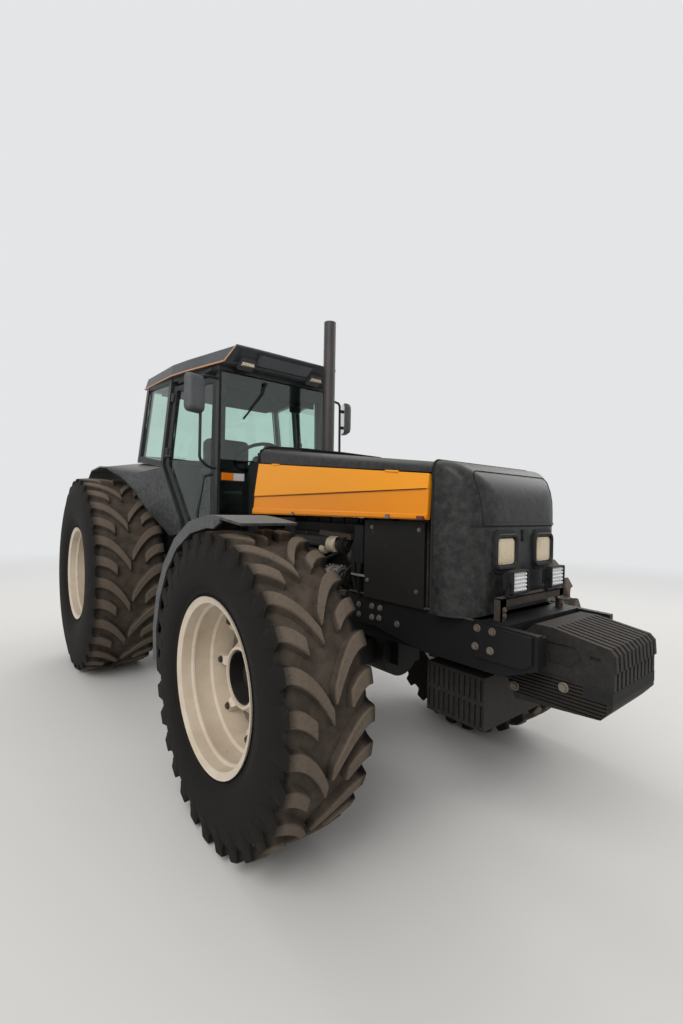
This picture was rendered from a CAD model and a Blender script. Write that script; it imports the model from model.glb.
"""The looks of a farm tractor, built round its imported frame.

Every length is in metres in the row frame: +X forward, +Y to the driver's left, +Z up, with the
origin on the ground below the middle of the tractor.
"""

import logging
import math
from dataclasses import dataclass
from enum import Enum
from typing import Iterable, Sequence

import bmesh
import bpy
from mathutils import Matrix, Vector
from mathutils.bvhtree import BVHTree


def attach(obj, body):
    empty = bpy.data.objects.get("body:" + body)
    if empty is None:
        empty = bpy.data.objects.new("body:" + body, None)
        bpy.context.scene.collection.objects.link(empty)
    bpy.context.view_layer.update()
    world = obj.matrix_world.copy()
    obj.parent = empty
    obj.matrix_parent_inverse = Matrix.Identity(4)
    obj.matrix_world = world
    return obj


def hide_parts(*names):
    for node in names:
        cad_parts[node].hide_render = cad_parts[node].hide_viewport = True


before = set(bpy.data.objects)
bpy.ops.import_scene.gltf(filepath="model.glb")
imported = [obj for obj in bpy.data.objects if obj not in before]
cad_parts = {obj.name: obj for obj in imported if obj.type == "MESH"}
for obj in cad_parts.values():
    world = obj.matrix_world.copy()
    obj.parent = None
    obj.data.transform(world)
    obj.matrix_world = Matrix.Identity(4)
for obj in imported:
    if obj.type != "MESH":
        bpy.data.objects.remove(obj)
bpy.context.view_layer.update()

LOG = logging.getLogger("tractor")
MM = 0.001
# Each axle's place along the tractor and its height, and how far out its tyres' middle is, in metres
FRONT_AXLE = (1.3075, 0.720)
REAR_AXLE = (-1.6525, 0.902)
FRONT_OUT = 0.943
REAR_OUT = 0.913
REAR_AXLE_X = REAR_AXLE[0]
# Size of the blots in faded paint, and of the finer cloud that dust lies in, in millimetres
FADE_MM = 260.0
DUST_MM = 35.0
SIDES = (("left", 1), ("right", -1))
AHEAD = (1, 0, 0)
UP = (0, 0, 1)
NODES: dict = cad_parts
Point = Sequence[float]


def at(ahead: float, left: float, up: float) -> Vector:
    """A point in metres in the row frame, from millimetres ahead of the rear axle, to the left and up."""
    return Vector((ahead * MM + REAR_AXLE_X, left * MM, up * MM))


# Shader helpers


def linear(hex_code: str) -> tuple[float, float, float, float]:
    """Turn an sRGB hex colour into the linear colour that shaders take.

    Args:
        hex_code: six hex digits, such as "e08e32".

    Returns:
        Linear red, green, blue and an alpha of 1.
    """
    parts = [int(hex_code[i:i + 2], 16) / 255 for i in (0, 2, 4)]
    curve = [c / 12.92 if c <= 0.04045 else ((c + 0.055) / 1.055) ** 2.4 for c in parts]
    return (*curve, 1.0)


def add(tree: bpy.types.NodeTree, kind: str, inputs: dict | None = None,
        **settings: object) -> bpy.types.Node:
    """Add one node with its settings, and set or link its inputs.

    Args:
        tree: the node tree that the node joins.
        kind: the node's type name.
        inputs: input name or number to a value, or to the output socket that feeds it.
        settings: properties of the node itself.

    Returns:
        The new node.
    """
    node = tree.nodes.new(kind)
    for name, value in settings.items():
        setattr(node, name, value)
    for name, value in (inputs or {}).items():
        socket = node.inputs[name]
        if isinstance(value, bpy.types.NodeSocket):
            tree.links.new(value, socket)
        else:
            socket.default_value = value
    return node


class Shade:
    """A material's node tree while it is put together."""

    def __init__(self, name: str) -> None:
        """Start an empty material.

        Args:
            name: what the real surface is called.
        """
        self.material = bpy.data.materials.new(name)
        self.material.use_nodes = True
        self.tree = self.material.node_tree
        self.surface = self.tree.nodes["Principled BSDF"]
        self.place = add(self.tree, "ShaderNodeTexCoord").outputs["Object"]

    def noise(self, size_mm: float, detail: float = 4.0, rough: float = 0.6) -> object:
        """Cloudy noise, 0 to 1: size of its largest blots, how many finer layers and how strong they are."""
        return add(self.tree, "ShaderNodeTexNoise", {
            "Vector": self.place, "Scale": 1000.0 / size_mm, "Detail": detail,
            "Roughness": rough}).outputs["Fac"]

    def step(self, value: object, low: float, high: float, to_low: float = 0.0,
             to_high: float = 1.0) -> object:
        """Ease a value that runs from low to high into one from to_low to to_high, held at the ends."""
        return add(self.tree, "ShaderNodeMapRange", {
            "Value": value, "From Min": low, "From Max": high, "To Min": to_low, "To Max": to_high},
            interpolation_type="SMOOTHSTEP").outputs["Result"]

    def sum(self, kind: str, a: object, b: object = 0.0) -> object:
        """Combine two numbers or sockets by the operation named, such as MULTIPLY."""
        return add(self.tree, "ShaderNodeMath", {0: a, 1: b}, operation=kind).outputs[0]

    def mix(self, amount: object, under: object, over: object) -> object:
        """Lay one colour over another.

        Args:
            amount: how much of the upper one shows, 0 to 1.
            under: hex code or socket of the lower colour.
            over: hex code or socket of the upper colour.

        Returns:
            The mixed colour's socket.
        """
        sides = [linear(c) if isinstance(c, str) else c for c in (under, over)]
        node = add(self.tree, "ShaderNodeMix", {0: amount, 6: sides[0], 7: sides[1]}, data_type="RGBA")
        return node.outputs[2]

    def lie(self) -> object:
        """How far the face looks up, 0 for upright or hanging faces and 1 for level ones."""
        normal = add(self.tree, "ShaderNodeNewGeometry").outputs["Normal"]
        return add(self.tree, "ShaderNodeSeparateXYZ", {0: normal}).outputs["Z"]

    def axis(self, name: str) -> object:
        """One coordinate of the surface point, X, Y or Z."""
        return add(self.tree, "ShaderNodeSeparateXYZ", {0: self.place}).outputs[name]

    def link(self, socket: str, value: object) -> None:
        """Feed one socket of the surface."""
        self.tree.links.new(value, self.surface.inputs[socket])

    def bump(self, height: object, depth_mm: float, strength: float = 1.0) -> None:
        """Raise the surface by a height from 0 to 1, a full step being depth_mm millimetres."""
        self.link("Normal", add(self.tree, "ShaderNodeBump", {
            "Height": height, "Distance": depth_mm * MM, "Strength": strength}).outputs[0])


@dataclass(frozen=True)
class Coat:
    """A coated or moulded surface that has weathered outdoors.

    A pixel of the render is some 4 mm wide on the tractor and the real grains are finer, so grain_mm
    draws them as coarse as they need to show.
    """

    name: str
    base: str
    shade: str
    roughness: float = 0.5
    metallic: float = 0.0
    dust: str = "8d8070"
    dusty: float = 0.3
    worn: str = ""
    wear: float = 0.0
    wear_mm: float = 60.0
    grain_mm: float = 3.0
    grain_depth_mm: float = 0.0
    clear: float = 0.0
    gloss: float = 0.5

    def build(self) -> bpy.types.Material:
        """Make the material.

        Returns:
            Base colour in two tones, dust on faces that look up, worn spots and a fine grain.
        """
        s = Shade(self.name)
        blots = s.noise(FADE_MM, 5.0)
        colour = s.mix(s.step(blots, 0.35, 0.7), self.base, self.shade)
        fine = s.noise(DUST_MM, 6.0, 0.7)
        film = s.sum("MULTIPLY", s.step(fine, 0.3, 0.75), self.dusty * 0.45)
        lying = s.sum("MULTIPLY", s.step(s.lie(), 0.25, 0.95), s.step(fine, 0.15, 0.6, 0.45, 1.0))
        dust = s.sum("MAXIMUM", film, s.sum("MULTIPLY", lying, self.dusty))
        colour = s.mix(dust, colour, self.dust)
        rough = s.step(dust, 0.0, 0.6, self.roughness, min(0.9, self.roughness + 0.3))
        if self.wear:
            chips = s.noise(self.wear_mm, 8.0, 0.72)
            spots = s.step(chips, 0.72 - 0.2 * self.wear, 0.76 - 0.2 * self.wear)
            colour = s.mix(spots, colour, self.worn)
            rough = s.sum("MAXIMUM", rough, s.sum("MULTIPLY", spots, 0.8))
        s.link("Base Color", colour)
        s.link("Roughness", rough)
        s.surface.inputs["Metallic"].default_value = self.metallic
        s.surface.inputs["Coat Weight"].default_value = self.clear
        s.surface.inputs["Specular IOR Level"].default_value = self.gloss
        if self.grain_depth_mm:
            s.bump(s.noise(self.grain_mm, 3.0), self.grain_depth_mm)
        return s.material


@dataclass(frozen=True)
class TyreRubber:
    """Vulcanised rubber: dark walls, dusty tread, pale dry soil on the bars' faces."""

    name: str
    axle: tuple[float, float]
    middle: float
    belt: float
    tip: float
    tread: float
    wall: str = "13110f"
    groove: str = "4f463d"
    face: str = "6b5f53"

    def build(self) -> bpy.types.Material:
        """Make the material.

        Returns:
            Rubber whose soil follows its distance from the axle and from the tread's middle.
        """
        s = Shade(self.name)
        x, z = s.sum("SUBTRACT", s.axis("X"), self.axle[0]), s.sum("SUBTRACT", s.axis("Z"), self.axle[1])
        radius = s.sum("SQRT", s.sum("ADD", s.sum("MULTIPLY", x, x), s.sum("MULTIPLY", z, z)))
        across = s.sum("ABSOLUTE", s.sum("SUBTRACT", s.sum("ABSOLUTE", s.axis("Y")), self.middle))
        blots = s.noise(90.0, 7.0, 0.65)
        fine = s.noise(14.0, 5.0, 0.7)
        edge = s.sum("ADD", across, s.sum("MULTIPLY", s.sum("SUBTRACT", blots, 0.5), 0.10))
        on_tread = s.sum("MULTIPLY", s.step(edge, self.tread * 0.99, self.tread * 0.78),
                         s.step(radius, self.belt - 0.06, self.belt - 0.01))
        soiled = s.sum("MULTIPLY", on_tread, s.step(blots, 0.3, 0.68, 0.45, 1.0))
        wiped = s.mix(s.step(fine, 0.35, 0.8, 0.0, 0.3), self.wall, "25211d")
        colour = s.mix(soiled, wiped, self.groove)
        on_face = s.sum("MULTIPLY", s.step(radius, self.tip - 0.014, self.tip - 0.003),
                        s.step(fine, 0.25, 0.6, 0.55, 1.0))
        colour = s.mix(s.sum("MULTIPLY", on_face, 0.75), colour, self.face)
        s.link("Base Color", colour)
        s.surface.inputs["Roughness"].default_value = 0.88
        s.surface.inputs["Specular IOR Level"].default_value = 0.2
        s.bump(s.sum("ADD", fine, blots), 1.6, 0.8)
        return s.material


@dataclass(frozen=True)
class Glass:
    """Toughened float glass or a clear moulded lens, tinted in the mass."""

    name: str
    tint: str
    film: str = "b9b7a8"
    roughness: float = 0.0
    ior: float = 1.5

    def build(self) -> bpy.types.Material:
        """Make the material.

        Returns:
            Clear glass with a faint film of dust that the rain has run through.
        """
        s = Shade(self.name)
        film = s.noise(180.0, 6.0, 0.7)
        s.link("Base Color", s.mix(s.step(film, 0.5, 0.9, 0.0, 0.35), self.tint, self.film))
        s.surface.inputs["Roughness"].default_value = self.roughness
        s.surface.inputs["Transmission Weight"].default_value = 1.0
        s.surface.inputs["IOR"].default_value = self.ior
        return s.material


@dataclass(frozen=True)
class PanelEnamel:
    """Sprayed orange enamel on the side panel: paler above its crease, deeper below."""

    name: str = "orange_panel_enamel_sprayed"
    upper: str = "ea9618"
    lower: str = "e0860e"
    crease_rear: tuple[float, float] = (2030.0, 1624.0)
    crease_front: tuple[float, float] = (3640.0, 1645.0)

    def build(self) -> bpy.types.Material:
        """Make the material.

        Returns:
            Two faded tones that meet at the crease, with faint rubbed marks.
        """
        s = Shade(self.name)
        rear, front = (at(x, 0, z) for x, z in (self.crease_rear, self.crease_front))
        rise = (front.z - rear.z) / (front.x - rear.x)
        line = s.sum("ADD", s.sum("MULTIPLY", s.axis("X"), rise), rear.z - rise * rear.x)
        above = s.step(s.sum("SUBTRACT", s.axis("Z"), line), -0.002, 0.002)
        colour = s.mix(above, self.lower, self.upper)
        worn = s.sum("MULTIPLY", s.step(s.noise(220.0, 7.0, 0.7), 0.45, 0.8), 0.25)
        colour = s.mix(worn, colour, "e89c26")
        specks = s.step(s.noise(9.0, 3.0, 0.8), 0.74, 0.78)
        colour = s.mix(s.sum("MULTIPLY", specks, 0.5), colour, "8a5a26")
        s.link("Base Color", colour)
        s.link("Roughness", s.step(s.noise(70.0, 5.0), 0.3, 0.8, 0.32, 0.5))
        s.surface.inputs["Coat Weight"].default_value = 0.08
        s.surface.inputs["Specular IOR Level"].default_value = 0.3
        return s.material


# Black hood enamel, gone dull and dusty in the sun
HOOD = Coat("black_hood_enamel_sprayed", "131416", "101113", 0.42, dusty=0.24, dust="8c8981", gloss=0.3)
# Orange enamel of the side panels, faded in the sun
ORANGE = PanelEnamel()
# Cream wheel enamel, dusty in the wells, with brown chips at the bolts
RIM = Coat("cream_wheel_enamel_sprayed", "cdc0ae", "bfb09b", 0.42, dusty=0.35, dust="98856e", worn="7a5a41",
           wear=0.3, wear_mm=45.0, clear=0.15)
# Black chassis paint, scuffed down to rust in places
CHASSIS = Coat("black_chassis_enamel_brushed", "121315", "0f1011", 0.5, gloss=0.25, dusty=0.1, dust="3c352e",
               worn="32241b", wear=0.2,
               wear_mm=60.0, grain_mm=6.0, grain_depth_mm=0.25)
# Sand cast weights, painted and rubbed, dust in every pit
WEIGHT = Coat("painted_cast_iron_sand_cast", "1e1c1a", "181614", 0.66, gloss=0.3, dusty=0.3, dust="5a5046",
              worn="382c23",
              wear=0.25, wear_mm=50.0, grain_mm=4.0, grain_depth_mm=0.7)
# Cast engine and axle housings, oily and dusty
IRON = Coat("engine_cast_iron_oily", "141312", "0f0f0e", 0.55, gloss=0.3, dusty=0.2, dust="433a31",
            worn="33271e",
            wear=0.3, wear_mm=60.0, grain_mm=4.0, grain_depth_mm=0.5)
# Bare cast aluminium of pumps and alternator, dirty
ALLOY = Coat("cast_aluminium_sand_cast", "8e8b86", "6f6c67", 0.5, metallic=0.6, dusty=0.4, dust="5b5046",
             grain_mm=3.0, grain_depth_mm=0.3)
# Folded cover sheet with rust bleeding through its paint
SHEET = Coat("rusty_black_sheet_steel_folded", "141312", "1a1614", 0.58, gloss=0.3, dusty=0.08,
             dust="3c342c", worn="402718", wear=0.4,
             wear_mm=110.0, grain_mm=8.0, grain_depth_mm=0.3)
# Rusty brown brackets and bare steel
RUST = Coat("brown_rusted_steel", "3b2e26", "2c2420", 0.75, dusty=0.15, worn="5e3c28", wear=0.45,
            wear_mm=40.0,
            grain_mm=3.0, grain_depth_mm=0.5)
# Dark grey moulded fenders, bleached and dusty on top
FENDER = Coat("dark_grey_abs_vacuum_formed", "2d3033", "25282b", 0.45, dusty=0.42, dust="8f8b83", gloss=0.4,
              grain_mm=2.5, grain_depth_mm=0.15)
# Satin black cab frame
CAB = Coat("black_cab_enamel_powder_coated", "1c1e21", "17191b", 0.45, dusty=0.15, dust="6e6a64", gloss=0.35)
# Moulded roof skin and mirror shells, dark grey and chalky on top
ROOF = Coat("dark_roof_grp_hand_laid", "4a4c50", "404246", 0.6, dusty=0.3, dust="74726f", grain_mm=3.0,
            grain_depth_mm=0.15)
# Grained black plastic of lamp housings, ducts and the cab's fittings
TRIM = Coat("black_grained_abs_moulded", "191a1c", "141516", 0.6, gloss=0.3, dusty=0.15, dust="5f5a53",
            grain_mm=1.6,
            grain_depth_mm=0.2)
# Black rubber of seals, hoses and grips
RUBBER = Coat("black_epdm_rubber_extruded", "121213", "0e0e0f", 0.8, gloss=0.25, dusty=0.15, dust="4c463e")
# Painted exhaust, browned by its heat
STACK = Coat("exhaust_steel_heat_stained", "353130", "2a2727", 0.55, dusty=0.15, worn="55402f", wear=0.4,
             wear_mm=120.0, grain_mm=5.0, grain_depth_mm=0.3)
# Zinc plated bolts, dull and spotted with rust
BOLT = Coat("zinc_plated_steel_cold_forged", "7d766c", "5f5449", 0.5, metallic=0.5, dusty=0.35, dust="6a5d50",
            worn="6b4630", wear=0.4, wear_mm=20.0)
# Wheel bolts gone dark, with rust round them
LUG_BOLT = Coat("black_steel_bolt_rusting", "2b2724", "4a3222", 0.6, dusty=0.1, worn="6b4226", wear=0.45,
                wear_mm=18.0)
# Painted hitch steel, worn bright where tools rub
LINK = Coat("black_forged_steel_painted", "2c2c2d", "232323", 0.5, dusty=0.3, worn="7a7570", wear=0.3,
            wear_mm=70.0, grain_mm=5.0, grain_depth_mm=0.3)
# Grey enamel of the roof's bare sign plate and of the dials' rims
GREY = Coat("grey_enamel_sheet_sprayed", "5b5f66", "51555b", 0.5, dusty=0.2)
# Faded tan tape along the roof's lower edge
STRIPE = Coat("faded_vinyl_tape", "c0895c", "ad8468", 0.6, dusty=0.3, dust="8f8880")
# Radiator fins, choked with dust
CORE = Coat("aluminium_fins_brazed", "2b2a28", "211f1e", 0.7, dusty=0.5, dust="6a5c4c", grain_mm=3.0,
            grain_depth_mm=0.6)
# Woven polyester seat cover
CLOTH = Coat("charcoal_polyester_woven", "2b2c30", "222327", 0.92, dusty=0.15, grain_mm=1.4,
             grain_depth_mm=0.5)
# Green tinted cab glass
CAB_GLASS = Glass("green_float_glass_toughened", "d8ece5")
# Ribbed lamp glass, cream from the reflector behind it
LENS = Coat("clear_ribbed_glass_pressed", "dccdb2", "c9b796", 0.16, dusty=0.12, clear=0.6)
# Bright reflector and mirror glass
BRIGHT = Coat("vapour_plated_reflector", "c9c9c6", "b9b9b6", 0.12, metallic=1.0, dusty=0.1)
# Amber lenses, and white ones that look milky by day
AMBER = Coat("amber_acrylic_moulded", "e8820f", "d9700a", 0.22, dusty=0.1, clear=0.5)
CLEAR = Coat("white_acrylic_moulded", "d6d2cc", "c6c1ba", 0.25, dusty=0.15, clear=0.5)
# Dark red clip on the panel's lower edge
CLIP = Coat("dark_red_enamel_clip", "5a1f1a", "46201a", 0.5, dusty=0.2)
# Cream painted filter canisters, greasy
FILTER = Coat("cream_filter_enamel_greasy", "b5a78d", "8f836d", 0.4, dusty=0.35, dust="5c5044",
              worn="4c4034", wear=0.3,
              wear_mm=30.0)
# White diode lenses over bright reflectors
DIODE = Coat("clear_polycarbonate_lens", "e2e3e4", "cfd1d3", 0.12, clear=0.6, dusty=0.05)
# Red tail lamp lens
RED = Coat("red_acrylic_moulded", "a01c14", "8c1710", 0.22, dusty=0.1, clear=0.5)
# Felted lining under the roof
LINING = Coat("grey_felt_lining_pressed", "1f1f1f", "191919", 0.95, dusty=0.1, grain_mm=2.0,
              grain_depth_mm=0.3)
# The dark joint between two panels
GAP = Coat("dark_panel_joint", "0e0e0f", "0a0a0b", 0.9, dusty=0.05)

# Tyre rubber: dark walls, and a tread that soil has dried on
FRONT_TYRE = TyreRubber("front_tyre_rubber_vulcanised", FRONT_AXLE, FRONT_OUT, belt=0.682, tip=0.720,
                        tread=0.200)
REAR_TYRE = TyreRubber("rear_tyre_rubber_vulcanised", REAR_AXLE, REAR_OUT, belt=0.864, tip=0.902, tread=0.270)

Finish = Coat | TyreRubber | Glass | PanelEnamel
MADE: dict[str, bpy.types.Material] = {}


def material_of(finish: Finish) -> bpy.types.Material:
    """Give a finish's material, made once.

    Args:
        finish: the finish.

    Returns:
        Its material.
    """
    if finish.name not in MADE:
        MADE[finish.name] = finish.build()
    return MADE[finish.name]


# Mesh helpers


def rounded(a0: float, a1: float, b0: float, b1: float, r: float,
            steps: int = 5) -> list[tuple[float, float]]:
    """A rectangle with round corners.

    Args:
        a0: low end of the first coordinate.
        a1: high end of the first coordinate.
        b0: low end of the second coordinate.
        b1: high end of the second coordinate.
        r: corner radius.
        steps: points round a corner, less one.

    Returns:
        Its outline, counter-clockwise.
    """
    points = []
    for a, b, first in ((a1 - r, b0 + r, 270), (a1 - r, b1 - r, 0), (a0 + r, b1 - r, 90),
                        (a0 + r, b0 + r, 180)):
        for k in range(steps + 1):
            turn = math.radians(first + 90 * k / steps)
            points.append((a + r * math.cos(turn), b + r * math.sin(turn)))
    return points


def headings(line: Sequence[Vector], closed: bool) -> list[Vector]:
    """Find where a line heads at each of its points, halfway between the legs on either side.

    Args:
        line: its points.
        closed: whether it comes back to its start.

    Returns:
        A unit vector for each point.
    """
    found = []
    for k, point in enumerate(line):
        before = line[k - 1] if k or closed else line[0]
        after = line[(k + 1) % len(line)] if k + 1 < len(line) or closed else line[-1]
        found.append(((after - point).normalized() + (point - before).normalized()).normalized())
    return found


def both_sides(out: float, *places: tuple[float, float]) -> list[tuple]:
    """Spots of bolts facing outwards on both sides: millimetres from the middle, (ahead, up) of each."""
    return [(at(x, side * out, z), (0, side, 0)) for side in (-1, 1) for x, z in places]


class Form:
    """A mesh in the making; its closed shapes may pass through each other."""

    def __init__(self) -> None:
        """Start with nothing."""
        self.mesh = bmesh.new()

    def faces(self, points: Iterable[Point], faces: Iterable[Sequence[int]], bevel: float = 0.0,
              segments: int = 2) -> None:
        """Add a closed shape.

        Args:
            points: its corners.
            faces: its faces, as numbers of corners.
            bevel: rounding of its edges.
            segments: faces across a rounding.
        """
        corners = [self.mesh.verts.new(p) for p in points]
        made = [self.mesh.faces.new([corners[k] for k in face]) for face in faces]
        if bevel:
            edges = list({edge for face in made for edge in face.edges if edge.calc_face_angle(0.0) > 0.35})
            bmesh.ops.bevel(self.mesh, geom=edges, offset=bevel, segments=segments, profile=0.5,
                            affect="EDGES", clamp_overlap=True)

    def rings(self, rings: Sequence[Sequence[Point]], closed: bool = False, bevel: float = 0.0) -> None:
        """Add a skin over rings of equally many points, with flat ends unless it closes on itself.

        Args:
            rings: the rings, in order.
            closed: whether the last ring joins the first.
            bevel: rounding of the sharp edges.
        """
        count, wide = len(rings), len(rings[0])
        points = [p for ring in rings for p in ring]
        faces = []
        for k in range(count if closed else count - 1):
            low, high = k * wide, ((k + 1) % count) * wide
            faces += [(low + j, low + (j + 1) % wide, high + (j + 1) % wide, high + j) for j in range(wide)]
        if not closed:
            faces += [tuple(reversed(range(wide))), tuple(range((count - 1) * wide, count * wide))]
        self.faces(points, faces, bevel)

    def prism(self, outline: Sequence[tuple[float, float]], axis: str, start: float, end: float,
              bevel: float = 0.0, turn: Matrix | None = None) -> None:
        """Add an outline drawn out along an axis.

        Args:
            outline: points across the axis, in the order x, y, z without the axis.
            axis: x, y or z.
            start: where it starts on the axis.
            end: where it ends.
            bevel: rounding of its edges.
            turn: a last move of the whole shape.
        """
        spots = {"x": lambda s, a, b: (s, a, b), "y": lambda s, a, b: (a, s, b), "z": lambda s, a,
                 b: (a, b, s)}
        rings = [[Vector(spots[axis](s, a, b)) for a, b in outline] for s in (start, end)]
        if turn:
            rings = [[turn @ p for p in ring] for ring in rings]
        self.rings(rings, False, bevel)

    def block(self, low: Point, high: Point, bevel: float = 0.0, turn: Matrix | None = None) -> None:
        """Add a box between two corners, with rounded edges, and move it if asked."""
        outline = [(low[0], low[1]), (high[0], low[1]), (high[0], high[1]), (low[0], high[1])]
        self.prism(outline, "z", low[2], high[2], bevel, turn)

    def lathe(self, profile: Sequence[tuple[float, float]], centre: Point, axis: Point, steps: int = 32,
              closed: bool = False) -> None:
        """Add a turned shape.

        Args:
            profile: (distance along the axis, radius) in order; a radius of 0 closes an end.
            centre: the point that distances are counted from.
            axis: the direction of the axis.
            steps: faces round it.
            closed: whether the profile comes back to its start, as a ring's does.
        """
        along = Vector(axis).normalized()
        side = along.orthogonal().normalized()
        other = along.cross(side)
        rings = []
        for k in range(steps):
            turn = 2 * math.pi * k / steps
            out = side * math.cos(turn) + other * math.sin(turn)
            rings.append([Vector(centre) + along * a + out * r for a, r in profile])
        wide = len(profile)
        points = [p for ring in rings for p in ring]
        faces = []
        for k in range(steps):
            low, high = k * wide, ((k + 1) % steps) * wide
            faces += [(low + j, low + (j + 1) % wide, high + (j + 1) % wide, high + j)
                      for j in range(wide if closed else wide - 1)]
        if not closed:
            faces += [tuple(k * wide for k in range(steps)),
                      tuple(k * wide + wide - 1 for k in reversed(range(steps)))]
        self.faces(points, faces)

    def tube(self, points: Sequence[Point], radius: float, sides: int = 12, closed: bool = False) -> None:
        """Add a round bar along points, mitred at each.

        Args:
            points: its middle line.
            radius: its radius.
            sides: faces round it.
            closed: whether it comes back to its start.
        """
        line = [Vector(p) for p in points]
        up = None
        rings = []
        for point, ahead in zip(line, headings(line, closed)):
            up = ahead.orthogonal().normalized() if up is None else (up - ahead * up.dot(ahead)).normalized()
            side = ahead.cross(up)
            rings.append([point + (up * math.cos(t) + side * math.sin(t)) * radius
                          for t in (2 * math.pi * j / sides for j in range(sides))])
        self.rings(rings, closed)

    def beam(self, points: Sequence[Point], wide: float, high: float, bevel: float = 0.0,
             closed: bool = False) -> None:
        """Add a square bar along points.

        Args:
            points: its middle line.
            wide: its level size across.
            high: its other size across.
            bevel: rounding of its edges.
            closed: whether it comes back to its start.
        """
        line = [Vector(p) for p in points]
        rings = []
        for point, ahead in zip(line, headings(line, closed)):
            side = ahead.cross(Vector(UP))
            side = Vector((0, 1, 0)) if side.length < 0.1 else side.normalized()
            up = side.cross(ahead).normalized()
            rings.append([point + side * a * wide / 2 + up * b * high / 2
                          for a, b in ((-1, -1), (1, -1), (1, 1), (-1, 1))])
        self.rings(rings, closed, bevel)

    def mirror(self) -> None:
        """Add the other side of everything so far."""
        everything = self.mesh.verts[:] + self.mesh.edges[:] + self.mesh.faces[:]
        copy = bmesh.ops.duplicate(self.mesh, geom=everything)
        for item in copy["geom"]:
            if isinstance(item, bmesh.types.BMVert):
                item.co.y = -item.co.y

    def piece(self, name: str, finish: Finish, body: str = "chassis",
              smooth: float = 35.0) -> bpy.types.Object:
        """Turn the form into a piece that rides on a body.

        Args:
            name: the piece's name.
            finish: its finish.
            body: the body that it rides on.
            smooth: the greatest angle, in degrees, that is shaded round.

        Returns:
            The piece.
        """
        bmesh.ops.recalc_face_normals(self.mesh, faces=self.mesh.faces[:])
        mesh = bpy.data.meshes.new(name)
        self.mesh.to_mesh(mesh)
        self.mesh.free()
        return settle(name, mesh, finish, body, smooth)


class Drawing(Form):
    """A form drawn in millimetres: ahead of the rear axle, to the left, up."""

    def facing(self, y: float, z: float, rows: Sequence[tuple[float, float, float, float]],
               steps: int) -> None:
        """Add a skin over rounded rectangles round (y, z): place, half width, half height, corner of each."""
        self.rings([[(x, y + a, z + b) for a, b in rounded(-w, w, -h, h, r, steps)] for x, w, h, r in rows])

    def piece(self, name: str, finish: Finish, body: str = "chassis", smooth: float = 35.0,
              both: bool = False) -> bpy.types.Object:
        """Turn the drawing into a piece in metres.

        Args:
            name: the piece's name.
            finish: its finish.
            body: the body that it rides on.
            smooth: the greatest angle, in degrees, that is shaded round.
            both: whether the other side gets the same.

        Returns:
            The piece.
        """
        if both:
            self.mirror()
        bmesh.ops.transform(self.mesh, matrix=Matrix.Translation((REAR_AXLE_X, 0, 0)) @ Matrix.Scale(MM, 4),
                            verts=self.mesh.verts[:])
        return super().piece(name, finish, body, smooth)


def settle(name: str, mesh: bpy.types.Mesh, finish: Finish, body: str,
           smooth: float = 35.0) -> bpy.types.Object:
    """Show a mesh as a piece.

    Args:
        name: the piece's name.
        mesh: its mesh, already in place.
        finish: its finish.
        body: the body that it rides on.
        smooth: the greatest angle, in degrees, that is shaded round.

    Returns:
        The piece.
    """
    mesh.materials.clear()
    mesh.materials.append(material_of(finish))
    mesh.shade_smooth()
    mesh.set_sharp_from_angle(angle=math.radians(smooth))
    piece = bpy.data.objects.new(name, mesh)
    bpy.context.scene.collection.objects.link(piece)
    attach(piece, body)
    LOG.info("%s: %d faces", name, len(mesh.polygons))
    return piece


def socket_id(tree: bpy.types.NodeTree, name: str) -> str:
    """The identifier of a tree's named input."""
    return next(item.identifier for item in tree.interface.items_tree
                if item.in_out == "INPUT" and item.name == name)


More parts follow.
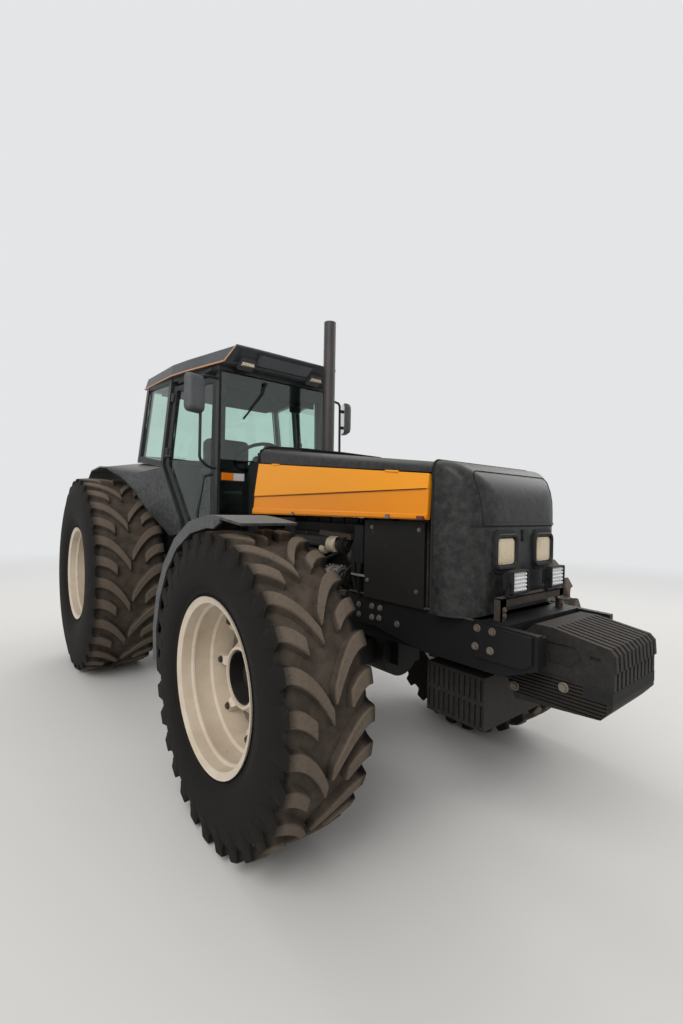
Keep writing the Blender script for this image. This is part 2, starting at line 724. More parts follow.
class Scatter:
    """Sets one small shape on many points by Geometry Nodes."""

    def __init__(self) -> None:
        """Build the tree once: points that carry a direction and a size, and the shape to set on them."""
        tree = bpy.data.node_groups.new("set_on_points", "GeometryNodeTree")
        face = tree.interface
        face.new_socket("Geometry", in_out="INPUT", socket_type="NodeSocketGeometry")
        face.new_socket("Shape", in_out="INPUT", socket_type="NodeSocketObject")
        face.new_socket("Scale", in_out="INPUT", socket_type="NodeSocketFloat")
        face.new_socket("Finish", in_out="INPUT", socket_type="NodeSocketMaterial")
        face.new_socket("Geometry", in_out="OUTPUT", socket_type="NodeSocketGeometry")
        start = add(tree, "NodeGroupInput")
        facing = add(tree, "GeometryNodeInputNamedAttribute", {0: "facing"}, data_type="FLOAT_VECTOR")
        size = add(tree, "GeometryNodeInputNamedAttribute", {0: "size"}, data_type="FLOAT")
        turn = add(tree, "FunctionNodeAlignRotationToVector", {"Vector": facing.outputs[0]}, axis="Z")
        scale = add(tree, "ShaderNodeMath", {0: size.outputs[0], 1: start.outputs["Scale"]},
                    operation="MULTIPLY")
        shape = add(tree, "GeometryNodeObjectInfo", {"Object": start.outputs["Shape"]})
        put = add(tree, "GeometryNodeInstanceOnPoints", {
            "Points": start.outputs["Geometry"], "Instance": shape.outputs["Geometry"],
            "Rotation": turn.outputs[0], "Scale": scale.outputs[0]})
        real = add(tree, "GeometryNodeRealizeInstances", {0: put.outputs[0]})
        dressed = add(tree, "GeometryNodeSetMaterial",
                      {0: real.outputs[0], "Material": start.outputs["Finish"]})
        add(tree, "NodeGroupOutput", {0: dressed.outputs[0]})
        self.tree = tree

    def set_on(self, name: str, finish: Finish, shape: Form, spots: Sequence[tuple], scale: float,
               body: str = "chassis") -> bpy.types.Object:
        """Set a shape on points and bake the result into one piece.

        Args:
            name: the piece's name.
            finish: its finish.
            shape: the small shape, standing on its origin along +Z.
            spots: point, direction and size of each copy.
            scale: a scale for all of them.
            body: the body that it rides on.

        Returns:
            The piece.
        """
        small = bpy.data.meshes.new(name + "_shape")
        bmesh.ops.recalc_face_normals(shape.mesh, faces=shape.mesh.faces[:])
        shape.mesh.to_mesh(small)
        shape.mesh.free()
        template = bpy.data.objects.new(name + "_shape", small)
        bpy.context.scene.collection.objects.link(template)
        mesh = bpy.data.meshes.new(name + "_points")
        mesh.from_pydata([tuple(spot[0]) for spot in spots], [], [])
        for attribute, kind in (("facing", "FLOAT_VECTOR"), ("size", "FLOAT")):
            mesh.attributes.new(attribute, kind, "POINT")
        for k, spot in enumerate(spots):
            mesh.attributes["facing"].data[k].vector = spot[1]
            mesh.attributes["size"].data[k].value = spot[2]
        carrier = bpy.data.objects.new(name + "_points", mesh)
        bpy.context.scene.collection.objects.link(carrier)
        modifier = carrier.modifiers.new("set", "NODES")
        modifier.node_group = self.tree
        modifier[socket_id(self.tree, "Shape")] = template
        modifier[socket_id(self.tree, "Scale")] = scale
        modifier[socket_id(self.tree, "Finish")] = material_of(finish)
        bpy.context.view_layer.update()
        graph = bpy.context.evaluated_depsgraph_get()
        baked = bpy.data.meshes.new_from_object(carrier.evaluated_get(graph))
        baked.name = name
        for thing in (carrier, template):
            bpy.data.objects.remove(thing)
        return settle(name, baked, finish, body)


def hex_bolt(washer: float = 1.35) -> Form:
    """A hexagon head on a washer, one unit from its middle to a corner, standing on +Z.

    Args:
        washer: the washer's radius.

    Returns:
        The bolt's shape.
    """
    form = Form()
    form.lathe([(-0.1, washer), (0.14, washer), (0.2, washer - 0.08)], (0, 0, 0), UP, 20)
    corner = [(math.cos(math.radians(60 * k)), math.sin(math.radians(60 * k))) for k in range(6)]
    form.prism(corner, "z", 0.1, 0.82, 0.07)
    return form


SCATTER = Scatter()


def bolts(name: str, spots: Iterable[tuple], radius_mm: float = 11.0, finish: Finish = BOLT,
          body: str = "chassis") -> None:
    """Screw bolts into a body at (place, direction), their heads radius_mm from middle to corner."""
    SCATTER.set_on(name, finish, hex_bolt(), [(*spot, 1.0) for spot in spots], radius_mm * MM, body)


def dress(finish: Finish, *names: str) -> None:
    """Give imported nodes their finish.

    Args:
        finish: the finish.
        names: the nodes' names.
    """
    for name in names:
        node = NODES[name]
        if not node.material_slots:
            node.data.materials.append(material_of(finish))
        for slot in node.material_slots:
            slot.material = material_of(finish)


# Wheels


@dataclass
class LuggedTyre:
    """A tyre whose curved bars, long and short in turn, lead at the middle of the tread."""

    end: str
    centre: tuple[float, float]
    middle: float
    bead: float
    foot: float
    section: float
    belt: float
    tip: float
    tread: float
    rubber: TyreRubber
    lugs: int
    first: float
    bar_half: float = 1.9
    foot_half: float = 3.4
    shoulder_drop: float = 0.010
    short_from: float = 0.44
    lead_from: float = 0.1
    lag: float = 29.5
    bend: float = 16.6
    side: int = 1

    def wall(self, share: float) -> tuple[float, float]:
        """The carcass between its lip and its belt.

        Args:
            share: 0 at the lip, 1 at the belt's edge.

        Returns:
            Half width and radius there.
        """
        curve = [(0.0, 0.0), (0.04, 0.30), (0.08, 0.26), (0.2, 0.70), (0.35, 0.95), (0.5, 1.0), (0.65, 0.98),
                 (0.8, 0.88), (0.9, 0.72), (1.0, 0.45)]
        lip = self.bead + 0.033
        for (s0, f0), (s1, f1) in zip(curve, curve[1:]):
            if share <= s1:
                part = f0 + (f1 - f0) * (share - s0) / (s1 - s0)
                break
        out = self.foot + (self.section / 2 - 0.002 - self.foot) * part
        return out, lip + (self.belt - 0.014 - lip) * share

    def carcass(self, form: Form) -> None:
        """Add the casing: bead, rim guard, bulging walls and belt.

        Args:
            form: the mesh.
        """
        half = [(self.foot, self.bead), (self.foot, self.bead + 0.030)]
        half += [self.wall(k / 24) for k in range(25)]
        edge_y, edge_r = half[-1]
        half += [(edge_y * 0.86, self.belt - 0.008), (edge_y * 0.55, self.belt - 0.002), (0.0, self.belt)]
        profile = half + [(-y, r) for y, r in reversed(half[:-1])]
        form.lathe(profile, (self.centre[0], self.side * self.middle, self.centre[1]), (0, 1, 0), 120, True)

    def lead(self, share: float) -> float:
        """How far a bar lags behind its nose, in degrees, at a share of the half tread."""
        beyond = share - self.lead_from
        return self.lag * beyond - self.bend * beyond * beyond

    def spread(self, share: float) -> float:
        """How much wider than square across a bar is cut round the tyre, because it runs aslant."""
        slope = math.radians(self.lag - 2 * self.bend * (share - self.lead_from)) * self.tip / self.tread
        return 0.25 + 0.75 * math.hypot(1.0, slope)

    def spot(self, degrees: float, radius: float, y: float) -> Vector:
        """A point of the tyre: angle up from straight ahead, radius, distance from its middle."""
        turn = math.radians(degrees)
        return Vector((self.centre[0] + radius * math.cos(turn), self.side * self.middle + y,
                       self.centre[1] + radius * math.sin(turn)))

    def bar(self, form: Form, start: float, out: int, begin: float) -> None:
        """Add one bar with its toe on the wall.

        Args:
            form: the mesh.
            start: the bar's place round the tyre, in degrees.
            out: 1 or -1, the half of the tread that it is on.
            begin: share of the half tread where its nose is.
        """
        rings = []
        tip = self.tip
        nose = [(begin - 0.05, 0.55, 0.2, 0.5), (begin - 0.03, 0.9, 0.72, 0.85),
                (begin - 0.005, 1.02, 0.97, 0.98)]
        run = [(begin + 0.03 + (0.97 - begin) * k / 13, 1.0, 1.0, 1.0) for k in range(14)]
        for share, wide, high, foot in nose + run:
            middle = start + self.lead(share)
            drop = self.shoulder_drop * max(0.0, (share - 0.6) / 0.4) ** 1.5
            top, low = tip - drop - (1 - high) * 0.03, self.belt - 0.012 - drop
            spread = self.spread(share)
            widths = [self.foot_half * foot * (0.55 + 0.75 * share) * spread,
                      self.bar_half * wide * (0.65 + 0.8 * share) * spread]
            rings.append(self.across(middle, widths, top, low, out * share * self.tread, 0))
        middle = start + self.lead(1.0)
        for k in range(1, 6):
            part = k / 5
            wall_y, wall_r = self.wall(1.0 - 0.30 * part)
            top = tip - self.shoulder_drop - (tip - self.shoulder_drop - wall_r - 0.002) * part ** 0.85
            y = self.tread + (wall_y + 0.002 - self.tread) * part
            widths = [self.foot_half * 1.3 * (1 - 0.45 * part ** 2),
                      self.bar_half * 1.45 * (1 - 0.5 * part ** 2)]
            rings.append(self.across(middle, widths, top, wall_r - 0.012 * (1 - part), out * y, out * wall_y))
        form.rings(rings)

    def across(self, middle: float, widths: Sequence[float], top: float, low: float, y: float,
               low_y: float) -> list[Vector]:
        """One section of a bar.

        Args:
            middle: its place round the tyre in degrees.
            widths: half width at the foot and at the top, in degrees.
            top: radius of its face.
            low: radius of its foot.
            y: distance of its face from the tyre's middle.
            low_y: distance of its foot, or 0 for the same.

        Returns:
            The section's points in order.
        """
        foot, face = widths
        low_y = low_y or y
        half = (foot + face) / 2
        rows = [(foot, 0.0), (half, 0.26), (face * 1.14, 0.62), (face * 1.02, 0.9), (face * 0.86, 1.0)]
        section = [(-turn, up) for turn, up in rows] + [(0.0, 1.0)] + rows[::-1]
        return [self.spot(middle + turn, low + (top - low) * up, low_y + (y - low_y) * up)
                for turn, up in section]

    def build(self) -> None:
        """Make both wheels' tyres."""
        for name, side in SIDES:
            self.side = side
            form = Form()
            self.carcass(form)
            pitch = 360 / self.lugs
            for out in (1, -1):
                stagger = 0.0 if out == side else pitch / 2
                for lug in range(self.lugs):
                    begin = self.short_from if lug % 2 else 0.05
                    self.bar(form, self.first + stagger + lug * pitch, out, begin)
            body = "wheel_%s_%s" % (self.end, name)
            piece = form.piece("tyre_%s_%s" % (self.end, name), self.rubber, body, 40)
            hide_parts("%s_tyre_%s" % (self.end, name))


@dataclass
class Rim:
    """A rolled rim with its scalloped disc, lugs, hub, bolts and valve."""

    end: str
    centre: tuple[float, float]
    middle: float
    flange: float
    half: float
    disc_in: float
    lobe: float
    valley: float
    dish: float
    lobes: int = 8
    lobe_half: float = 16.0
    lobe_ease: float = 8.0
    hole: float = 0.130
    steps: int = 192
    valve_turn: float = 0.42

    def barrel(self, form: Form, axle: Vector, out: Vector) -> None:
        """Add the rolled rim: flanges, bead seats, the step to the well, and the ridge beside the disc.

        Args:
            form: the mesh.
            axle: the wheel's middle.
            out: outwards along its axis.
        """
        f, h, d = self.flange, self.half, self.disc_in
        inside = [(h - 0.002, f - 0.004), (h - 0.006, f - 0.016), (h - 0.012, f - 0.033),
                  (h - 0.062, f - 0.038),
                  (h - 0.070, f - 0.048), (h - 0.078, f - 0.050), (h - 0.086, f - 0.047),
                  (-d + 0.106, f - 0.052),
                  (-d + 0.096, f - 0.066), (-d + 0.084, f - 0.068), (-d - 0.016, f - 0.074),
                  (-d - 0.030, f - 0.062),
                  (-h + 0.024, f - 0.036), (-h + 0.008, f - 0.022), (-h + 0.002, f - 0.004)]
        outside = [(-h, f - 0.001), (-h + 0.008, f - 0.002), (-h + 0.018, f - 0.016),
                   (-h + 0.030, f - 0.0265),
                   (h - 0.030, f - 0.0265), (h - 0.018, f - 0.016), (h - 0.008, f - 0.002), (h, f - 0.001)]
        form.lathe(inside + outside, axle, out, 144, True)

    def disc(self, form: Form, axle: Vector, out: Vector) -> None:
        """Add the disc: lobes to the lugs, valleys between them, dished round the hub hole.

        Args:
            form: the mesh.
            axle: the wheel's middle.
            out: outwards along its axis.
        """
        hole, dish, foot = self.hole, self.dish, self.valley - 0.035
        front = [(hole, dish - 0.008), (hole + 0.004, dish), (hole + 0.016, dish - 0.002),
                 (hole + 0.036, dish * 0.72), (foot, dish * 0.16), (self.valley - 0.012, 0.0)]
        back = [(foot, dish * 0.16 - 0.016), (hole + 0.036, dish * 0.72 - 0.016), (hole, dish - 0.018)]
        pitch = 360 / self.lobes
        rings = []
        for k in range(self.steps):
            turn = 2 * math.pi * k / self.steps
            off = abs((math.degrees(turn) + pitch / 2) % pitch - pitch / 2)
            rise = min(1.0, max(0.0, (self.lobe_half - off) / self.lobe_ease))
            rim = self.valley + (self.lobe - self.valley) * rise * rise * (3 - 2 * rise)
            way = Vector((math.cos(turn), 0, math.sin(turn)))
            edge = [(rim - 0.004, 0.0), (rim, -0.004), (rim, -0.012)]
            rings.append([axle + out * (-self.disc_in + a) + way * r for r, a in front + edge + back])
        form.rings(rings, True)

    def lugs(self, form: Form, axle: Vector, out: Vector) -> list[tuple]:
        """Add the lugs that join disc and rim.

        Args:
            form: the mesh.
            axle: the wheel's middle.
            out: outwards along its axis.

        Returns:
            Place and direction of each lug's bolt.
        """
        spots = []
        for k in range(self.lobes):
            turn = 2 * math.pi * k / self.lobes
            way = Vector((math.cos(turn), 0, math.sin(turn)))
            along = Vector((-math.sin(turn), 0, math.cos(turn)))
            low, high = self.lobe - 0.056, self.flange - 0.068
            rows = [(-0.002, low, 0.029), (0.030, low + 0.004, 0.028), (0.052, low + 0.016, 0.026),
                    (0.060, low + 0.026, 0.020)]
            form.rings([[axle + out * (-self.disc_in + a) + way * r + along * s
                         for r, s in ((foot, -w), (high, -w), (high, w), (foot, w))]
                        for a, foot, w in rows], False, 0.004)
            spots.append((axle + out * (-self.disc_in + 0.060) + way * (low + 0.052), out))
        return spots

    def hub(self, name: str, body: str, axle: Vector, out: Vector) -> None:
        """Make the hub that shows in the disc's hole: a wall out to the hole's edge, and a sunken face.

        Args:
            name: the side's name.
            body: the wheel's body.
            axle: the wheel's middle.
            out: outwards along its axis.
        """
        front = self.dish - self.disc_in - 0.010
        base = front - 0.072
        form = Form()
        form.lathe([(front - 0.19, 0.0), (front - 0.19, 0.1285), (front, 0.1285), (front, 0.122),
                    (base, 0.114),
                    (base, 0.080), (base + 0.022, 0.074), (base + 0.032, 0.060), (base + 0.036, 0.030),
                    (base + 0.036, 0.0)], axle, out, 48)
        form.piece("hub_%s_%s" % (self.end, name), IRON, body)
        spots = []
        for k in range(10):
            turn = 2 * math.pi * (k + 0.5) / 10
            way = Vector((math.cos(turn), 0, math.sin(turn)))
            spots.append((axle + out * (base + 0.004) + way * 0.093, out))
        bolts("hub_bolts_%s_%s" % (self.end, name), spots, 8, IRON, body)

    def valve(self, name: str, body: str, axle: Vector, out: Vector) -> None:
        """Make the tyre's valve, bent out of the rim.

        Args:
            name: the side's name.
            body: the wheel's body.
            axle: the wheel's middle.
            out: outwards along its axis.
        """
        form = Form()
        way = Vector((math.cos(self.valve_turn), 0, math.sin(self.valve_turn)))
        foot = axle + out * (-self.disc_in + 0.13) + way * (self.flange - 0.050)
        stem = ((0.0, 0.0), (0.018, 0.0), (0.030, 0.008), (0.034, 0.046))
        form.tube([foot - way * a + out * b for a, b in stem], 0.0045, 10)
        form.piece("tyre_valve_%s_%s" % (self.end, name), BOLT, body)

    def build(self) -> None:
        """Make both sides' rims."""
        for name, side in SIDES:
            body = "wheel_%s_%s" % (self.end, name)
            out, axle = Vector((0, side, 0)), Vector((self.centre[0], side * self.middle, self.centre[1]))
            form = Form()
            self.barrel(form, axle, out)
            self.disc(form, axle, out)
            spots = self.lugs(form, axle, out)
            piece = form.piece("rim_%s_%s" % (self.end, name), RIM, body, 32)
            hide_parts("%s_rim_%s" % (self.end, name))
            bolts("lug_bolts_%s_%s" % (self.end, name), spots, 15, LUG_BOLT, body)
            self.hub(name, body, axle, out)
            self.valve(name, body, axle, out)


class Wheels:
    """All four wheels."""

    def build(self) -> None:
        """Make the tyres and the rims of both axles."""
        LuggedTyre("front", FRONT_AXLE, FRONT_OUT, bead=0.3813, foot=0.1757, section=0.426, belt=0.682,
                   tip=0.720, tread=0.200, rubber=FRONT_TYRE, lugs=30, first=6.1).build()
        LuggedTyre("rear", REAR_AXLE, REAR_OUT, bead=0.4063, foot=0.2522, section=0.610, belt=0.864,
                   tip=0.902, tread=0.270, rubber=REAR_TYRE, lugs=32, first=11.0).build()
        Rim("front", FRONT_AXLE, FRONT_OUT, flange=0.408, half=0.190, disc_in=0.078, lobe=0.319,
            valley=0.251, dish=0.112).build()
        Rim("rear", REAR_AXLE, REAR_OUT, flange=0.433, half=0.2665, disc_in=0.120, lobe=0.344,
            valley=0.276, dish=0.070).build()


# Hood and nose


@dataclass
class Hood:
    """The nose, the hood's seals and inner frame, and the marks on the side panels."""

    nose_rear: float = 3664.0
    nose_depth: float = 208.0
    half_rear: float = 406.0
    half_front: float = 222.0
    top_rear: float = 1772.0
    top_front: float = 1532.0
    under: float = 1085.5
    line_rear: tuple[float, float] = (2140.0, 1965.0)
    line_front: tuple[float, float] = (3664.0, 1772.0)
    frame_y: float = 372.0
    fan_z: float = 1410.0
    panel_y: float = 421.0
    skin: BVHTree | None = None

    def line(self, x: float) -> float:
        """Height of the hood's top at its edge, at x."""
        (x0, z0), (x1, z1) = self.line_rear, self.line_front
        return z0 + (z1 - z0) * (x - x0) / (x1 - x0)

    def arch(self, x: float, half: float, low: float, top: float, corner: float) -> list[Vector]:
        """A section across the nose.

        Args:
            x: its place.
            half: half its width.
            low: its lower edge.
            top: its upper edge.
            corner: radius of its upper corners.

        Returns:
            Its outline.
        """
        side = [(-half, low + (top - corner - low) * k / 9) for k in range(9)]
        turn = [(-half + corner - corner * math.cos(t), top - corner + corner * math.sin(t))
                for t in (math.radians(90 * k / 9) for k in range(10))]
        half_line = side + turn
        return [Vector((x, y, z)) for y, z in half_line + [(-y, z) for y, z in reversed(half_line)]]

    def nose_x(self, y: float, z: float) -> float:
        """How far ahead the nose's skin is at a place across and a height."""
        spot = self.skin.ray_cast(at(4200, y, z), Vector((-1, 0, 0)))[0]
        return (spot.x - REAR_AXLE_X) / MM

    def nose(self) -> None:
        """Make the nose's skin: flat front, softly turned edges, top that runs into the hood."""
        form = Drawing()
        rings = []
        for k in range(19):
            turn = math.radians(5 * k)
            out, back = math.sin(turn), math.cos(turn)
            top = self.top_front + (self.top_rear - self.top_front) * (1 - out ** 2.2) ** (1 / 2.2)
            rings.append(self.arch(self.nose_rear + self.nose_depth * out,
                                   self.half_front + (self.half_rear - self.half_front) * back,
                                   self.under + 20 * out ** 6, top, 40 + 62 * out ** 2))
        form.rings(rings)
        nose = form.piece("nose_skin", HOOD, smooth=50)
        self.skin = BVHTree.FromPolygons([v.co for v in nose.data.vertices],
                                         [p.vertices for p in nose.data.polygons])
        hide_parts("nose_cowl")

    def seams(self) -> None:
        """Draw the joints: round the front panel, above the lamps, behind the nose, beside the raised cap."""
        form = Drawing()
        corner = [(-318 + 34 * (1 - math.cos(t)), 1690 + 34 * math.sin(t))
                  for t in (math.radians(90 * k / 5) for k in range(6))]
        side = [(-298, 1482), (-304, 1540), (-311, 1600), (-316, 1650)] + corner
        path = side + [(y, 1724) for y in range(-270, 271, 30)] + [(-y, z) for y, z in reversed(side)]
        form.tube([(self.nose_x(y, z) + 0.4, y, z) for y, z in path], 3.0, 8)
        form.tube([(self.nose_x(y, 1482) + 0.4, y, 1482) for y in range(-340, 341, 20)], 3.4, 8)
        rear = self.arch(self.nose_rear - 1, self.half_rear + 1, self.under + 4, self.top_rear + 1.5, 40)
        form.tube(rear, 5.5, 8)
        form.piece("nose_joints", GAP)
        lip = Drawing()
        lip.beam([(self.nose_x(y, 1492) - 1, y, 1492) for y in range(-300, 301, 20)], 16, 11, 4)
        lip.piece("nose_lip", HOOD)
        seal = Drawing()
        cap = [(x, -357, self.line(x) + 13) for x in (2146, 2300, 2440, 2530)]
        front = [(2546, y, self.line(2546) + rise) for y, rise in ((-340, 14), (0, 18), (340, 14))]
        seal.tube(cap + front + [(x, -y, z) for x, y, z in reversed(cap)], 7, 10)
        rear_edge = ((2136, 350, 1976), (2134, 412, 1945), (2104, 414, 1868), (2060, 412, 1690),
                     (2016, 410, 1500))
        for side in (-1, 1):
            seal.tube([(x, side * y, z) for x, y, z in rear_edge], 11, 10)
        seal.piece("hood_seals", RUBBER)

    def inner_frame(self) -> None:
        """Make the frame that carries the hood: rails, cross bars, bulkhead, fan shroud."""
        form = Drawing()
        for high, drop in ((70, 70), (46, 250)):
            for side in (-1, 1):
                form.beam([(x, side * self.frame_y, self.line(x) - drop) for x in (2110, 3336)], 22, high, 3)
        for x in (2450, 2850, 3200):
            form.beam([(x, y, self.line(x) - 40) for y in (-self.frame_y, self.frame_y)], 40, 22, 3)
            for side in (-1, 1):
                form.beam([(x, side * self.frame_y, self.line(x) - drop) for drop in (260, 60)], 24, 40, 3)
        form.block((2046, -392, 1290), (2058, 392, 1940), 3)
        form.piece("hood_frame", CHASSIS)
        shroud = Drawing()
        shroud.block((3250, -338, 1100), (3338, 338, 1735), 12)
        shroud.lathe([(0, 300), (-36, 300), (-36, 288), (0, 288)], (3252, 0, self.fan_z), AHEAD, 48, True)
        shroud.piece("fan_shroud", TRIM)
        fan = Drawing()
        fan.lathe([(-60, 62), (-60, 0), (-10, 0), (-10, 62)], (3232, 0, self.fan_z), AHEAD, 24)
        for k in range(8):
            turn = Matrix.Translation((3196, 0, self.fan_z)) @ Matrix.Rotation(k * math.pi / 4, 4, "X")
            fan.block((-22, -3, 40), (22, 3, 276), 2, turn @ Matrix.Rotation(0.6, 4, "Z"))
        fan.piece("cooling_fan", TRIM)

    def panels(self) -> None:
        """Mark the side panels: the dark crease line, the latches and the red clip."""
        for name, side in SIDES:
            body = "panel_body_" + name
            form = Drawing()
            crease_y, y = side * (self.panel_y + 0.6), side * self.panel_y
            form.tube([(2046, crease_y, 1624.5), (2840, crease_y, 1634), (3634, crease_y, 1645)], 1.7, 6)
            form.piece("panel_crease_" + name, GAP, body)
            latch = Drawing()
            for x in (3399, 2560):
                latch.block((x - 13, y - 8, 1505), (x + 13, y + 8, 1526), 3)
            latch.piece("panel_latches_" + name, BOLT, body)
            clip = Drawing()
            clip.block((3588, y - 9, 1503), (3630, y + 9, 1521), 4)
            clip.tube([(3600, side * 428, 1512), (3609, side * 436, 1509), (3622, side * 432, 1506)], 4, 8)
            clip.piece("panel_clip_" + name, CLIP, body)

    def build(self) -> None:
        """Make everything of the hood."""
        self.nose()
        self.seams()
        self.inner_frame()
        self.panels()


# Front end


@dataclass
class FrontEnd:
    """Headlamps, work lamps on their bar, the rails' bolts, weight pins and covers."""

    lamp_y: float = 161.0
    lamp_z: float = 1371.0
    led_y: float = 165.0
    led_z: float = 1246.0
    bar_half: float = 272.0
    bar_z: float = 1180.0
    weight_half: float = 211.0

    def headlamps(self) -> None:
        """Make both headlamps, each a deep bezel and a ribbed lens, and the bare plate between them."""
        lens, bezel = Drawing(), Drawing()
        for side in (-1, 1):
            y, z = side * self.lamp_y, self.lamp_z
            rows = [(3858, 90, 82, 34), (3884, 88, 80, 32), (3890, 83, 75, 30), (3889, 76, 66, 26),
                    (3876, 70, 58, 20), (3865, 69, 57, 20)]
            bezel.facing(y, z, rows, 6)
            rows = [(3864, 70, 58, 20), (3878.5, 69, 57, 20), (3881, 60, 49, 20), (3881.5, 30, 28, 20)]
            lens.facing(y, z, rows, 6)
        bezel.piece("headlamp_bezels", TRIM)
        piece = lens.piece("headlamp_lenses", LENS, smooth=60)
        rib = Form()
        rib.prism([(-1.0, 0.0), (-0.7, 0.7), (0.0, 1.0), (0.7, 0.7), (1.0, 0.0)], "z", -22, 22)
        spots = []
        for side in (-1, 1):
            for k in range(9):
                spots.append((at(3880.6, side * self.lamp_y + (k - 4) * 13.6, self.lamp_z), UP, 1.0))
        SCATTER.set_on("headlamp_ribs", LENS, rib, spots, 0.0023)
        plate = Drawing()
        plate.prism(rounded(-20, 20, 1412, 1466, 6), "x", 3862, 3879, 2)
        plate.piece("nose_plate", TRIM)

    def work_lamps(self) -> None:
        """Make the two work lamps, finned housings with grids of diodes, their stays and their bar."""
        back, shell = Drawing(), Drawing()
        for side in (-1, 1):
            y, z = side * self.led_y, self.led_z
            back.block((3940, y - 57, z - 43), (3949.5, y + 57, z + 43), 2)
            rows = [(3922, 60, 46, 6), (3930, 64, 50, 6), (3956, 64, 50, 6), (3957, 62, 48, 5),
                    (3957, 57, 43, 3),
                    (3946, 57, 43, 3), (3944, 20, 20, 3)]
            shell.facing(y, z, rows, 4)
            for k in range(9):
                shell.block((3904, y - 55 + 13 * k, z - 36), (3926, y - 49 + 13 * k, z + 36), 1.5)
        back.piece("diode_plates", BRIGHT)
        piece = shell.piece("work_lamp_housings", TRIM)
        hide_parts("work_lamps")
        dome = Form()
        dome.lathe([(-0.2, 1.0), (0.25, 0.95), (0.55, 0.7), (0.72, 0.35), (0.78, 0.0)], (0, 0, 0), UP, 12)
        spots = [(at(3949.5, side * self.led_y + (a - 2.5) * 18.4, self.led_z + (b - 2) * 16.6), AHEAD, 1.0)
                 for side in (-1, 1) for a in range(6) for b in range(5)]
        SCATTER.set_on("diode_lenses", DIODE, dome, spots, 0.0074)
        stay = Drawing()
        for side in (-1, 1):
            y = side * self.led_y
            stay.beam([(3938, y - 68, 1236), (3930, y - 68, 1186), (3920, y + 68, 1186),
                       (3938, y + 68, 1236)], 22, 5, 1)
            stay.lathe([(-74, 0), (-74, 9), (74, 9), (74, 0)], (3938, y, 1238), (0, 1, 0), 16)
        stay.piece("work_lamp_stays", CHASSIS)
        bar = Drawing()
        bar.block((3894, -self.bar_half, self.bar_z - 5), (3930, self.bar_half, self.bar_z + 1), 1.5)
        bar.block((3924, -self.bar_half, self.bar_z - 36), (3930, self.bar_half, self.bar_z), 1.5)
        for side in (-1, 1):
            web, leaf, gusset = (side * (self.bar_half - back) for back in (3, 18, 9))
            bar.block((3894, web - 3, 1076.5), (3930, web + 3, self.bar_z), 1.5)
            bar.block((3924, leaf - 18, 1076.5), (3930, leaf + 18, self.bar_z), 1.5)
            bar.prism([(3896, 1076.5), (3926, 1076.5), (3926, 1130)], "y", gusset - 3, gusset + 3, 1)
        piece = bar.piece("lamp_bar_angle", RUST)
        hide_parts("lamp_bar")

    def fastenings(self) -> None:
        """Fit the bolts, the covers' brackets and stays, the dark gap in the weights, and the tow pin."""
        rail = both_sides(345, (3112, 1032), (3114, 978), (3216, 1039), (3217, 981), (3277, 1039),
                          (3271, 986),
                          (3400, 980))
        plates = both_sides(359, (3872, 1060), (3943, 1059), (3864, 983), (3935, 980))
        bolts("rail_bolts", rail + plates, 12)
        bolts("cover_bolts", both_sides(365, (3227, 1456), (3550, 1455), (3538, 1162), (3196, 1176)), 8)
        weights = both_sides(self.weight_half, (4165, 868)) + both_sides(self.weight_half, (3960, 812))
        bolts("weight_bolts", weights, 15)
        on_top = [(at(3912, side * self.led_y, self.bar_z + 1), UP) for side in (-1, 1)]
        in_front = [(at(3932, side * 254, z), AHEAD) for side in (-1, 1) for z in (1108, 1132)]
        bolts("bar_bolts", on_top + in_front, 9)
        strip = Drawing()
        strip.beam([(3165, -352, 1090), (3590, -352, 1090)], 20, 9, 2)
        strip.beam([(3040, -352, 1100), (3850, -352, 1088)], 10, 6, 1)
        strip.piece("cover_brackets", RUST, both=True)
        plate = Drawing()
        plate.block((3092, -368, 1258), (3162, -352, 1462), 3)
        plate.beam([(3127, -360, 1262), (3127, -350, 1180), (3127, -345, 1070)], 40, 10, 2)
        plate.piece("cover_stays", CHASSIS, both=True)
        stay = Drawing()
        stay.tube([(3030, -330, 1188), (3082, -366, 1193), (3178, -368, 1194)], 7, 10)
        stay.piece("panel_stays", ALLOY, both=True)
        gap = Drawing()
        out = self.weight_half + 0.2
        gap.block((4238, -out, 856), (4343.2, out, 898), 1)
        gap.piece("weight_gap", GAP)
        tow = Drawing()
        tow.lathe([(-44, 12), (-44, 0), (44, 0), (44, 12)], (4060, 0, 1128), UP, 20)
        turns = [2 * math.pi * k / 16 for k in range(16)]
        tow.tube([(4060 + 22 * math.cos(t), 22 * math.sin(t), 1176) for t in turns], 5, 8, True)
        tow.piece("tow_pin", LINK)

    def build(self) -> None:
        """Make everything of the front end."""
        self.headlamps()
        self.work_lamps()
        self.fastenings()


# Engine bay


